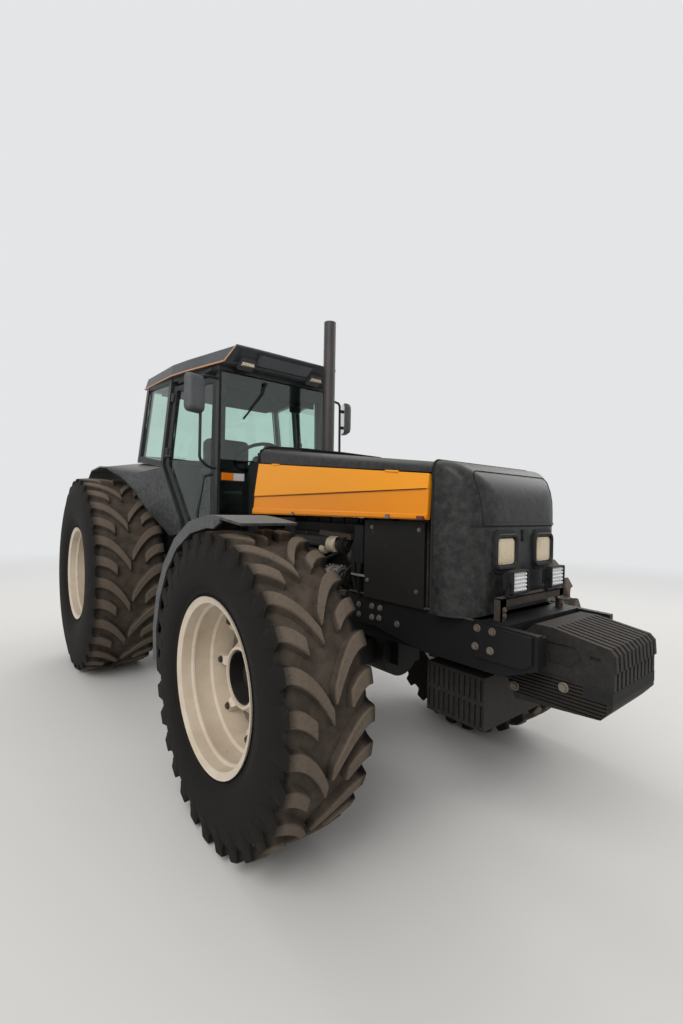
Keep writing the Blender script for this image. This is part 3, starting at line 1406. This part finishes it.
@dataclass
class EngineBay:
    """What stands round the plain engine block."""

    top: float = 1400.0
    cylinders: int = 6
    pitch: float = 143.0
    cleaner: tuple[float, float] = (-60.0, 1640.0)
    alternator: tuple[float, float] = (-311.0, 1150.0)

    def upper(self) -> None:
        """Make the rocker covers, intake, air cleaner and its hoses."""
        cover = Drawing()
        for k in range(self.cylinders):
            x = 2120 + self.pitch * k
            cover.block((x, -105, self.top - 4), (x + 128, 105, self.top + 92), 16)
        cover.beam([(2110, -150, self.top + 28), (2990, -150, self.top + 28)], 54, 60, 10)
        cover.piece("rocker_covers", IRON)
        spots = [(at(2184 + self.pitch * k, y, self.top + 92), UP) for k in range(self.cylinders)
                 for y in (-60, 60)]
        bolts("rocker_bolts", spots, 10)
        cleaner = Drawing()
        cleaner.lathe([(0, 0), (0, 104), (12, 118), (70, 118), (74, 124), (94, 124), (98, 118), (560, 118),
                       (564, 124),
                       (584, 124), (588, 118), (620, 104), (624, 0)], (2380, *self.cleaner), AHEAD, 40)
        cleaner.tube([(3000, *self.cleaner), (3080, -50, 1646), (3160, -20, 1660), (3230, 0, 1670)], 58, 20)
        cleaner.piece("air_cleaner", TRIM)
        bands = Drawing()
        for x in (2450, 2760, 2920):
            bands.lathe([(0, 117), (0, 121.5), (22, 121.5), (22, 117)], (x, *self.cleaner), AHEAD, 40, True)
        bands.beam([(2610, -60, 1518), (2610, -60, 1490)], 90, 120, 6)
        bands.beam([(2900, -60, 1518), (2900, -60, 1490)], 90, 60, 6)
        bands.piece("air_cleaner_bands", BOLT)
        pipe = Drawing()
        pipe.tube([(2390, *self.cleaner), (2300, -40, 1640), (2230, 40, 1620), (2200, 130, 1560),
                   (2190, 190, 1470)], 52, 20)
        pipe.tube([(2960, 150, 1420), (3040, 170, 1500), (3150, 180, 1560), (3260, 180, 1590)], 40, 16)
        pipe.tube([(2990, -120, 1380), (3080, -150, 1420), (3180, -170, 1560), (3260, -170, 1620)], 28, 14)
        pipe.tube([(2990, -90, 1140), (3100, -120, 1130), (3200, -150, 1160), (3260, -160, 1180)], 28, 14)
        pipe.piece("air_and_water_hoses", RUBBER)

    def side_gear(self) -> None:
        """Make what the right side shows: filters, pump, brackets, alternator, belt, lines and pipes."""
        pale, dark, rust, line = Drawing(), Drawing(), Drawing(), Drawing()
        pale.lathe([(0, 0), (0, 44), (6, 50), (66, 50), (72, 44), (72, 0)], (2822, -318, 1338), AHEAD, 28)
        pale.lathe([(0, 0), (0, 30), (32, 30), (38, 22), (38, 0)], (2744, -322, 1306), AHEAD, 24)
        pale.piece("fuel_filters", FILTER)
        dark.lathe([(0, 0), (0, 34), (20, 34), (24, 46), (40, 46), (44, 34), (58, 34), (62, 52), (70, 52),
                    (74, 30),
                    (92, 30), (92, 0)], (2898, -316, 1336), AHEAD, 28)
        dark.lathe([(0, 0), (0, 48), (10, 56), (150, 56), (160, 50), (176, 50), (176, 0)],
                   (2560, -292, 1110), UP, 28)
        dark.lathe([(0, 0), (0, 44), (10, 52), (140, 52), (150, 46), (166, 46), (166, 0)],
                   (2690, -292, 1100), UP, 28)
        dark.block((2360, -300, 960), (2500, -230, 1180), 14)
        dark.piece("pump_and_oil_filters", IRON)
        rust.beam([(2700, -290, 1404), (3010, -300, 1388)], 46, 30, 8)
        rust.lathe([(0, 0), (0, 60), (12, 66), (26, 66), (38, 60), (38, 0)], (2960, -250, 1290), AHEAD, 28)
        rust.block((2870, -352, 1060), (3000, -322, 1086), 6)
        rust.piece("engine_brackets", RUST)
        body = Drawing()
        body.lathe([(-128, 0), (-128, 40), (-120, 60), (-96, 67), (-70, 67), (-66, 60), (-56, 60), (-52, 67),
                    (-16, 67),
                    (-4, 60), (2, 40), (2, 0)], (2936, *self.alternator), AHEAD, 36)
        body.piece("alternator_body", ALLOY)
        vane = Form()
        vane.block((-0.45, -0.1, -0.2), (0.45, 0.1, 0.42), 0.05)
        spots = []
        for ring in (2822, 2902):
            for k in range(18):
                turn = 2 * math.pi * k / 18
                y, z = self.alternator
                spots.append((at(ring, y + 66 * math.cos(turn), z + 66 * math.sin(turn)),
                              (0, math.cos(turn), math.sin(turn)), 1.0))
        SCATTER.set_on("alternator_vanes", ALLOY, vane, spots, 0.017)
        belt = Drawing()
        belt.lathe([(0, 0), (0, 40), (4, 44), (9, 36), (14, 36), (19, 44), (24, 44), (24, 0)],
                   (2964, *self.alternator),
                   AHEAD, 28)
        belt.lathe([(0, 0), (0, 104), (6, 110), (11, 100), (19, 100), (24, 110), (30, 104), (30, 0)],
                   (2990, 0, 930), AHEAD, 40)
        belt.lathe([(0, 0), (0, 82), (6, 88), (24, 88), (30, 82), (30, 0)], (3012, 0, 1400), AHEAD, 36)
        belt.tube([(2976, -340, 1182), (2980, -200, 1300), (2990, 40, 1492), (2996, 84, 1440),
                   (2998, 104, 930),
                   (2996, 40, 830), (2990, -60, 842), (2978, -330, 1112)], 7, 8, True)
        belt.piece("belt_and_pulleys", IRON)
        line.tube([(2640, -262, 1280), (2700, -318, 1300), (2760, -330, 1330), (2824, -320, 1340)], 7, 10)
        line.tube([(2500, -270, 1160), (2620, -340, 1200), (2780, -352, 1240), (2900, -340, 1290),
                   (2990, -300, 1330)], 9, 10)
        line.tube([(2300, -262, 1120), (2500, -330, 1090), (2720, -352, 1060), (2920, -340, 1010),
                   (3040, -322, 1010)], 12, 12)
        line.tube([(2250, -250, 1240), (2420, -330, 1250), (2600, -345, 1230), (2760, -350, 1180)], 8, 10)
        line.tube([(3060, -300, 1020), (3050, -330, 1180), (3040, -330, 1330), (3060, -280, 1470),
                   (3080, -200, 1560)], 14, 12)
        line.tube([(2860, -360, 1060), (2940, -372, 1010), (3060, -352, 960)], 10, 12)
        line.piece("fuel_and_oil_lines", RUBBER)
        steel = Drawing()
        for k in range(self.cylinders):
            x = 2170 + self.pitch * k
            steel.tube([(2420, -262, 1180), (2440 + 20 * k, -288, 1240), (x, -270, 1340), (x, -238, 1392)],
                       4, 8)
        steel.piece("injection_pipes", BOLT)

    def build(self) -> None:
        """Make everything round the engine."""
        self.upper()
        self.side_gear()


# Cab


@dataclass
class Cab:
    """Seals, roof, mirrors and fittings of the cab."""

    glass_x: float = 1646.0
    mirror_turn: tuple[float, float] = (21.7, 62.0)

    def seals(self) -> None:
        """Run rubber round the windscreen, and fit the sun band, the visor and the doors' handles."""
        form = Drawing()
        form.tube([(self.glass_x, -500, 1210), (self.glass_x, 500, 1210), (self.glass_x, 500, 2600),
                   (self.glass_x, -500, 2600)], 9, 10, True)
        form.piece("windscreen_seal", RUBBER)
        band = Drawing()
        lower = [(y, 2470 + 22 * (y / 486) ** 2) for y in range(-486, 487, 54)]
        band.rings([[(1626, y, z), (1632, y, z), (1632, y, 2606), (1626, y, 2606)] for y, z in lower], False,
                   1)
        band.piece("sun_band", TRIM)
        visor = Drawing()
        visor.block((1560, 60, 2446), (1572, 430, 2580), 5)
        visor.tube([(1600, 60, 2584), (1566, 70, 2584), (1566, 420, 2584)], 6, 8)
        visor.piece("sun_visor", TRIM)
        for name, side in SIDES:
            trim = Drawing()
            trim.block((1052, side * 700 - 9, 1950), (1160, side * 688 + 9, 1974), 6)
            trim.tube([(1060, side * 700, 1962), (1064, side * 722, 1962), (1150, side * 708, 1962),
                       (1154, side * 684, 1962)], 8, 10)
            trim.piece("door_handle_" + name, TRIM, "door_body_" + name)

    def wipers(self) -> None:
        """Hang the windscreen wiper from the roof's edge."""
        form = Drawing()
        form.lathe([(-12, 0), (-12, 17), (16, 17), (22, 10), (22, 0)], (1650, -120, 2556), AHEAD, 18)
        form.beam([(1664, -120, 2556), (1662, -141, 2473), (1657, -225, 2360)], 6, 12, 2)
        form.beam([(1655, -142, 2470), (1655, -308, 2250)], 7, 14, 2)
        form.piece("windscreen_wiper", RUBBER)

    def roof(self) -> None:
        """Finish the roof: tape, the front rim, the bare sign plate, lamp lenses, hatch and lining."""
        tape = Drawing()
        edge = [(1704, -506, 2655), (1232, -624, 2655), (1010, -664, 2655), (382, -692, 2655)]
        tape.beam(edge, 6, 11, 1)
        tape.beam([(1702, -503, 2654), (1832, -468, 2748)], 6, 11, 1)
        tape.piece("roof_tape", STRIPE, both=True)
        rim = Drawing()
        rim.tube([(1702, -498, 2660), (1834, -462, 2750), (1835, -300, 2751), (1835, 300, 2751),
                  (1834, 462, 2750),
                  (1702, 498, 2660)], 8, 10)
        rim.piece("visor_rim", ROOF)
        sign = Drawing()
        up_slope = [(1700 + 135 * share + 3 * 0.6, 2650 + 100 * share - 3 * 0.8) for share in (0.19, 0.79)]
        (x0, z0), (x1, z1) = up_slope
        sign.rings([[(x0 - 6, y, z0 + 8), (x0, y, z0), (x1, y, z1), (x1 - 6, y, z1 + 8)]
                    for y in (-244, 244)], False, 3)
        sign.piece("sign_plate_bare", GREY)
        lens = Drawing()
        for side in (-1, 1):
            for part in range(6):
                y = side * 324 - 50 + part * 17
                lens.block((1728, y, 2640), (1756, y + 15, 2664), 3)
        lens.piece("roof_lamp_lenses", LENS)
        top = Drawing()
        top.prism(rounded(900, 1240, -180, 180, 40), "z", 2784, 2806, 8)
        top.tube([(560, -420, 2776), (560, -420, 2800), (600, -420, 2806)], 7, 8)
        top.piece("roof_hatch", ROOF)
        inside = Drawing()
        inside.rings([[(480, -560, 2594 + a), (480, 560, 2594 + a), (1600, 560, 2594 + a),
                       (1600, -560, 2594 + a)]
                      for a in (0, 22)], False, 6)
        inside.prism(rounded(560, 1500, -420, 420, 90), "z", 2578, 2600, 8)
        inside.beam([(428, -560, 1962), (428, 560, 1962)], 84, 76, 14)
        inside.piece("head_lining", LINING)

    def mirrors(self) -> None:
        """Make both mirrors: bent tube, clamp, shell with its rim, glass."""
        shells, tubes, glasses = Drawing(), Drawing(), Drawing()
        for side in (-1, 1):
            tubes.tube([(1616, side * 514, 2540), (1622, side * 560, 2541), (1636, side * 600, 2538),
                        (1654, side * 650, 2524), (1660, side * 662, 2500), (1662, side * 664, 2200),
                        (1664, side * 666, 1925), (1661, side * 656, 1898), (1640, side * 600, 1862),
                        (1622, side * 560, 1848), (1616, side * 520, 1848)], 11, 12)
            for z in (2300, 2450):
                tubes.beam([(1660, side * 662, z), (1668, side * 700, z)], 18, 26, 3)
            swing = Matrix.Rotation(math.radians(self.mirror_turn[side > 0]), 4, "Z")
            turn = Matrix.Translation((1672, side * 716, 2378)) @ swing
            rows = [(46, 0.62), (40, 0.80), (26, 0.93), (6, 0.99), (-14, 1.0), (-20, 0.97)]
            outline = rounded(-82, 82, -140, 140, 36, 6)
            shells.rings([[turn @ Vector((x, a * s, b * (1 - (1 - s) * 0.6) + 3)) for a, b in outline]
                          for x, s in rows])
            glasses.rings([[turn @ Vector((x, a * 0.92, b * 0.94 + 3)) for a, b in outline]
                           for x in (-19, -22)])
            shells.block((1655, side * 716 - 14, 2300), (1693, side * 716 + 14, 2340), 4)
        shell = shells.piece("mirror_shells", ROOF, smooth=45)
        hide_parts("mirrors")
        tubes.piece("mirror_tubes", CAB)
        glasses.piece("mirror_glasses", BRIGHT)

    def markers(self) -> None:
        """Give each front marker its amber half and its white half."""
        amber, white, base = Drawing(), Drawing(), Drawing()
        for side in (-1, 1):
            base.block((1643, side * 396 - 98, 1750), (1662, side * 396 + 98, 1820), 5)
            amber.block((1656, side * 443 - 46, 1757), (1674, side * 443 + 46, 1813), 6)
            white.block((1656, side * 349 - 46, 1757), (1674, side * 349 + 46, 1813), 6)
        base.piece("marker_bases", TRIM)
        piece = amber.piece("marker_amber_lenses", AMBER)
        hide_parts("marker_lamps")
        white.piece("marker_white_lenses", CLEAR)

    def build(self) -> None:
        """Make everything of the cab's outside."""
        self.seals()
        self.wipers()
        self.roof()
        self.mirrors()
        self.markers()


@dataclass
class Interior:
    """Seat, wheel, dash and levers behind the glass."""

    cushions: tuple = (
        ("seat_cushion", (700, -235, 1575), (1150, 235, 1690), 14.0),
        ("seat_backrest", (640, -225, 1690), (770, 225, 2215), 12.0),
        ("seat_armrest_left", (760, 245, 1850), (1060, 305, 1905), 5.0),
        ("seat_armrest_right", (760, -305, 1850), (1060, -245, 1905), 5.0))

    def pad(self, name: str, low: Point, high: Point, crown: float) -> None:
        """Make one cushion: a crowned closed form with two creases, whose sides pull in between its corners.

        Args:
            name: the piece's name.
            low: its lowest corner.
            high: its highest corner.
            crown: how far its middle swells.
        """
        form = Drawing()
        bmesh.ops.create_cube(form.mesh, size=2.0)
        bmesh.ops.subdivide_edges(form.mesh, edges=form.mesh.edges[:], cuts=9, use_grid_fill=True)
        half = (Vector(high) - Vector(low)) / 2
        middle = (Vector(high) + Vector(low)) / 2
        soft = min(half) * 0.62
        lying = half.z < half.x
        for vert in form.mesh.verts:
            u, v, w = vert.co
            p = Vector((u * half.x, v * half.y, w * half.z))
            core = Vector([max(-h + soft, min(h - soft, c)) for c, h in zip(p, half)])
            away = p - core
            p = core + (away.normalized() * soft if away.length > soft else away)
            crease = 2.5 * (1 - abs(abs(v) - 0.5) * 2) ** 8
            if lying:
                swell = (1 - u * u) * (1 - v * v) * (1 - w * w + abs(w))
                p.z += crown * swell * w - crease * w
            else:
                swell = (1 - v * v) * (1 - w * w)
                p.x += crown * swell * u - crease * u
            p.x *= 1 - 0.02 * (1 - v * v) * abs(u)
            p.y *= 1 - 0.025 * (1 - u * u) * abs(v)
            vert.co = middle + p
        piece = form.piece(name, CLOTH, smooth=80)
        modifier = piece.modifiers.new("soften", "SUBSURF")
        modifier.levels = modifier.render_levels = 1
        if name == "seat_cushion":
            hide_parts("operator_seat")

    def seat(self) -> None:
        """Make the cushions and the seat's suspension."""
        for name, low, high, crown in self.cushions:
            self.pad(name, low, high, crown)
        base = Drawing()
        base.prism(rounded(720, 1090, -180, 180, 40), "z", 1161, 1215, 8)
        for k in range(7):
            fold = 6 * (k % 2)
            base.prism(rounded(740 - fold, 1070 + fold, -170 - fold, 170 + fold, 40), "z", 1215 + 44 * k,
                       1262 + 44 * k, 10)
        base.prism(rounded(700, 1130, -220, 220, 36), "z", 1524, 1580, 10)
        base.block((590, -190, 1700), (650, 190, 2190), 18)
        base.piece("seat_suspension", TRIM)

    def controls(self) -> None:
        """Make the console's face, the wheel's rim and spokes, levers and pedals."""
        turn = Matrix.Translation((1330, 0, 1990)) @ Matrix.Rotation(math.radians(-32), 4, "Y")
        wheel = Drawing()
        wheel.tube([turn @ Vector((200 * math.cos(t), 200 * math.sin(t), 0)) for t in
                    (2 * math.pi * k / 48 for k in range(48))], 15, 12, True)
        for k in range(3):
            out = Matrix.Rotation(2 * math.pi * k / 3, 4, "Z")
            wheel.beam([turn @ out @ Vector(p) for p in ((30, 0, -22), (110, 0, -12), (194, 0, 0))], 26, 9, 3)
        wheel.lathe([(-60, 0), (-60, 30), (-14, 52), (-2, 46), (2, 0)], turn @ Vector((0, 0, -4)),
                    turn.to_3x3() @ Vector(UP), 28)
        wheel.tube([turn @ Vector((0, 0, -50)), (1470, 0, 1790), (1510, 0, 1700)], 26, 16)
        piece = wheel.piece("steering_wheel_rim", RUBBER)
        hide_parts("steering_wheel")
        dash = Drawing()
        dash.rings([[(1470, -150, 1780), (1470, 150, 1780), (1585, 175, 1895), (1585, -175, 1895)],
                    [(1455, -170, 1830), (1455, 170, 1830), (1560, 190, 1935),
                     (1560, -190, 1935)]], False, 12)
        dash.piece("dash_hood", TRIM)
        dial = Drawing()
        for y, r in ((-70, 42), (40, 56), (125, 26)):
            dial.lathe([(-6, 0), (-6, r), (2, r + 3), (6, r), (3, r - 5), (3, 0)], (1507, y, 1884),
                       (-0.7, 0, 0.72), 28)
        dial.piece("dash_dials", GREY)
        lever = Drawing()
        for foot, x, y, z, lean in ((1250, 1400, 400, 2120, -10), (1500, 1330, -395, 1790, -20),
                                    (1500, 1240, -400, 1770, -25), (1500, 1150, -400, 1750, -30)):
            lever.tube([(x - lean, y, foot), (x, y, z)], 9, 10)
            lever.lathe([(-14, 0), (-14, 14), (8, 24), (34, 20), (46, 0)], (x, y, z), UP, 18)
        lever.block((900, -470, 1165), (1380, -330, 1530), 30)
        lever.block((900, 330, 1165), (1240, 470, 1480), 30)
        for y in (-150, -60, 90):
            lever.block((1535, y - 34, 1270), (1548, y + 34, 1350), 4)
            lever.beam([(1545, y, 1310), (1590, y, 1420)], 14, 10, 2)
        lever.piece("levers_and_side_consoles", TRIM)
        mirror = Drawing()
        mirror.prism(rounded(222, 330, 2404, 2472, 18), "x", 1490, 1510, 6)
        mirror.tube([(1500, 276, 2470), (1520, 276, 2530), (1560, 276, 2600)], 6, 8)
        mirror.piece("inside_mirror", TRIM)

    def build(self) -> None:
        """Make everything inside the cab."""
        self.seat()
        self.controls()


# Axles, fenders and rear


@dataclass
class Running:
    """Axle fittings, steps, tank fittings, tail lamps and hitch details."""

    step_z: tuple[float, ...] = (520.0, 780.0, 1030.0)
    tail_y: float = 800.0

    def front_axle(self) -> None:
        """Bolt the knuckles, hose the steering cylinder, and make the front drive's shaft."""
        for name, side in SIDES:
            body = "knuckle_body_" + name
            spots = [(at(x, side * y, 1497), UP) for x in (2938, 2982) for y in (880, 960, 1020)]
            bolts("fender_bolts_" + name, spots, 10, body=body)
        hose = Drawing()
        for side in (-1, 1):
            hose.tube([(2800, side * 120, 880), (2760, side * 200, 900), (2740, side * 300, 830),
                       (2750, side * 360, 720)], 9, 10)
            hose.tube([(2900, side * 150, 905), (2840, side * 260, 905), (2800, side * 380, 840),
                       (2790, side * 420, 740)], 9, 10)
        hose.piece("steering_hoses", RUBBER)
        gear = Drawing()
        gear.lathe([(-40, 0), (-40, 120), (-26, 132), (26, 132), (40, 120), (40, 0)], (2720, 0, 720), AHEAD,
                   36)
        gear.tube([(2700, 0, 720), (2500, 0, 735), (2100, 0, 760)], 44, 20)
        gear.piece("front_drive_shaft", IRON)

    def steps(self) -> None:
        """Fit grips and rails to the steps, straps and cap to the tank."""
        form = Drawing()
        for side in (-1, 1):
            form.tube([(1570, side * 560, 1160), (1610, side * 640, 1200), (1622, side * 660, 1500),
                       (1616, side * 610, 1780),
                       (1612, side * 540, 1800)], 13, 12)
            for x in (1190, 1800):
                form.beam([(x, side * 735, 660), (x, side * 756, 700), (x, side * 756, 980),
                           (x, side * 735, 1030)], 8, 34, 2)
        form.piece("grab_rails_and_straps", CAB)
        cap = Drawing()
        cap.lathe([(-20, 0), (-20, 52), (14, 52), (24, 44), (24, 0)], (1880, 600, 1052), UP, 28)
        cap.piece("tank_cap", TRIM)
        tread = Form()
        tread.block((-1.0, -0.16, -0.2), (1.0, 0.16, 0.3), 0.05)
        spots = [(at(x, side * y, z + 5), UP, 1.0) for side in (-1, 1) for z in self.step_z
                 for x in (1275, 1335, 1395, 1455, 1515) for y in (640, 675)]
        SCATTER.set_on("step_treads", BOLT, tread, spots, 0.013)

    def tail(self) -> None:
        """Fit tail lamps, link pins, the shaft's guard and couplings."""
        base, amber, red = Drawing(), Drawing(), Drawing()
        for side in (-1, 1):
            y = side * self.tail_y
            base.block((-872, y - 110, 1500), (-840, y + 110, 1600), 8)
            red.block((-880, y - 102, 1508), (-868, y + 10, 1592), 8)
            amber.block((-880, y + 16, 1508), (-868, y + 102, 1592), 8)
        base.piece("tail_lamp_bases", TRIM)
        red.piece("tail_lamp_red_lenses", RED)
        amber.piece("tail_lamp_amber_lenses", AMBER)
        form = Drawing()
        form.lathe([(-30, 0), (-30, 22), (64, 22), (70, 16), (70, 0)], (-446, 0, 650), (-1, 0, 0), 24)
        form.lathe([(-70, 92), (-70, 100), (30, 100), (30, 92)], (-480, 0, 650), AHEAD, 32, True)
        for y in (-110, -50, 50, 110):
            for z in (960, 1020):
                form.lathe([(-20, 0), (-20, 20), (20, 20), (24, 14), (46, 14), (46, 0)], (-446, y, z),
                           (-1, 0, 0), 18)
        form.piece("shaft_guard_and_couplings", IRON)
        bolts("link_pins", both_sides(471, (-100, 500)), 22, LINK, "lower_links_body")

    def build(self) -> None:
        """Make all of it."""
        self.front_axle()
        self.steps()
        self.tail()


class Light(Enum):
    """The studio's lamps: place, size in metres, power in watts."""

    KEY = ((4.5, -7.0, 7.5), 6.0, 560.0)
    FILL = ((1.5, 8.5, 7.0), 6.0, 320.0)
    BACK = ((-8.0, 1.0, 8.0), 7.0, 360.0)


@dataclass
class Studio:
    """The floor, the soft lamps and the camera at the photograph's place."""

    camera_at: tuple[float, float, float] = (3.3609, -2.0300, 1.5416)
    yaw: float = 140.797
    pitch: float = -0.2296
    roll: float = 1.0032
    lens: float = 16.387
    sensor: float = 36.0
    floor_half: float = 60.0
    floor_hex: str = "cfcecb"
    sky_hex: str = "e4e5e6"
    sky_light: float = 0.62
    aim_z: float = 1.2
    fade_from: float = 4.5
    fade_to: float = 15.0

    def build(self) -> None:
        """Make the camera, world, lamps and floor."""
        self.make_camera()
        self.make_world()
        for light in Light:
            self.make_lamp(light)
        self.make_floor()
        view = bpy.context.scene.view_settings
        view.view_transform = "Standard"

    def make_camera(self) -> None:
        """Stand the camera where the photograph was taken from."""
        yaw, pitch, roll = (math.radians(a) for a in (self.yaw, self.pitch, self.roll))
        ahead = Vector((math.cos(yaw) * math.cos(pitch), math.sin(yaw) * math.cos(pitch), math.sin(pitch)))
        right = ahead.cross(Vector(UP)).normalized()
        up = right.cross(ahead)
        side = right * math.cos(roll) + up * math.sin(roll)
        top = up * math.cos(roll) - right * math.sin(roll)
        data = bpy.data.cameras.new("camera")
        data.sensor_fit = "VERTICAL"
        data.sensor_height = self.sensor
        data.lens = self.lens
        data.clip_end = 300
        camera = bpy.data.objects.new("camera", data)
        turn = Matrix((side, top, -ahead)).transposed().to_4x4()
        camera.matrix_world = Matrix.Translation(self.camera_at) @ turn
        bpy.context.scene.collection.objects.link(camera)
        bpy.context.scene.camera = camera

    def straight_rays(self, tree: bpy.types.NodeTree) -> bpy.types.NodeSocket:
        """Tell the rays that show the background: from the camera, off gloss, through glass.

        Args:
            tree: the node tree that asks.

        Returns:
            A socket that is 1 for such a ray and 0 for the rest.
        """
        path = add(tree, "ShaderNodeLightPath")
        seen = add(tree, "ShaderNodeMath",
                   {0: path.outputs["Is Camera Ray"], 1: path.outputs["Is Glossy Ray"]},
                   operation="MAXIMUM")
        return add(tree, "ShaderNodeMath", {0: seen.outputs[0], 1: path.outputs["Is Transmission Ray"]},
                   operation="MAXIMUM").outputs[0]

    def make_world(self) -> None:
        """Light everything evenly from all round, with a pale background behind it."""
        world = bpy.data.worlds.new("studio_world")
        bpy.context.scene.world = world
        world.use_nodes = True
        tree = world.node_tree
        tree.nodes.clear()
        seen_by = self.straight_rays(tree)
        lamp = add(tree, "ShaderNodeBackground", {"Color": linear("ffffff"), "Strength": self.sky_light})
        seen = add(tree, "ShaderNodeBackground", {"Color": linear(self.sky_hex), "Strength": 1.0})
        mix = add(tree, "ShaderNodeMixShader", {0: seen_by, 1: lamp.outputs[0], 2: seen.outputs[0]})
        add(tree, "ShaderNodeOutputWorld", {"Surface": mix.outputs[0]})

    def make_lamp(self, light: Light) -> None:
        """Hang one square lamp that faces the tractor.

        Args:
            light: which lamp.
        """
        place, size, power = light.value
        data = bpy.data.lights.new("lamp_" + light.name.lower(), "AREA")
        data.size = size
        data.energy = power
        lamp = bpy.data.objects.new(data.name, data)
        aim = Vector((0, 0, self.aim_z)) - Vector(place)
        lamp.matrix_world = Matrix.Translation(place) @ aim.to_track_quat("-Z", "Y").to_matrix().to_4x4()
        bpy.context.scene.collection.objects.link(lamp)

    def make_floor(self) -> None:
        """Lay one plain pale floor that fades into the background far from the tractor."""
        half = self.floor_half
        mesh = bpy.data.meshes.new("floor")
        mesh.from_pydata([(-half, -half, 0), (half, -half, 0), (half, half, 0), (-half, half, 0)], [],
                         [(0, 1, 2, 3)])
        floor = bpy.data.objects.new("floor", mesh)
        material = bpy.data.materials.new("studio_floor_matte_paint")
        material.use_nodes = True
        shader = material.node_tree.nodes["Principled BSDF"]
        shader.inputs["Base Color"].default_value = linear(self.floor_hex)
        shader.inputs["Roughness"].default_value = 0.9
        tree = material.node_tree
        place = add(tree, "ShaderNodeTexCoord").outputs["Object"]
        away = add(tree, "ShaderNodeVectorMath", {0: place}, operation="LENGTH").outputs["Value"]
        far = add(tree, "ShaderNodeMapRange",
                  {"Value": away, "From Min": self.fade_from, "From Max": self.fade_to},
                  interpolation_type="SMOOTHSTEP").outputs["Result"]
        share = add(tree, "ShaderNodeMath", {0: far, 1: self.straight_rays(tree)},
                    operation="MULTIPLY").outputs[0]
        pale = add(tree, "ShaderNodeEmission", {"Color": linear(self.sky_hex), "Strength": 1.0}).outputs[0]
        mixed = add(tree, "ShaderNodeMixShader", {0: share, 1: shader.outputs[0], 2: pale}).outputs[0]
        tree.links.new(mixed, tree.nodes["Material Output"].inputs["Surface"])
        mesh.materials.append(material)
        bpy.context.scene.collection.objects.link(floor)


def dress_nodes() -> None:
    """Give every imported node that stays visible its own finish."""
    dress(HOOD, "hood_top")
    dress(ORANGE, "side_panel_left", "side_panel_right")
    dress(CHASSIS, "front_support", "side_rails", "battery_box", "cab_floor")
    dress(WEIGHT, "upper_weights", "lower_weights", "belly_weight")
    dress(IRON, "engine_block", "engine_ancillaries", "transmission_housing", "rear_axle_housings",
          "front_axle_beam", "knuckle_left", "knuckle_right")
    dress(SHEET, "side_covers")
    dress(FENDER, "rear_fenders", "front_fender_left", "front_fender_right")
    dress(CAB, "cab_frame", "door_left", "door_right")
    dress(ROOF, "cab_roof")
    dress(CAB_GLASS, "cab_glass", "door_glass_left", "door_glass_right")
    dress(TRIM, "dash_console", "fuel_tank", "headlamps")
    dress(STACK, "exhaust_stack")
    dress(CORE, "radiator")
    dress(LINK, "steering_rod", "lower_links", "lift_arms", "lift_rods", "top_link", "drawbar")


def main() -> None:
    """Build the studio and every sub-assembly in order."""
    logging.basicConfig(level=logging.INFO, format="%(name)s %(message)s")
    Studio().build()
    dress_nodes()
    for part in (Wheels(), Hood(), FrontEnd(), EngineBay(), Cab(), Interior(), Running()):
        LOG.info("building %s", type(part).__name__)
        part.build()


if __name__ == "__main__":
    main()
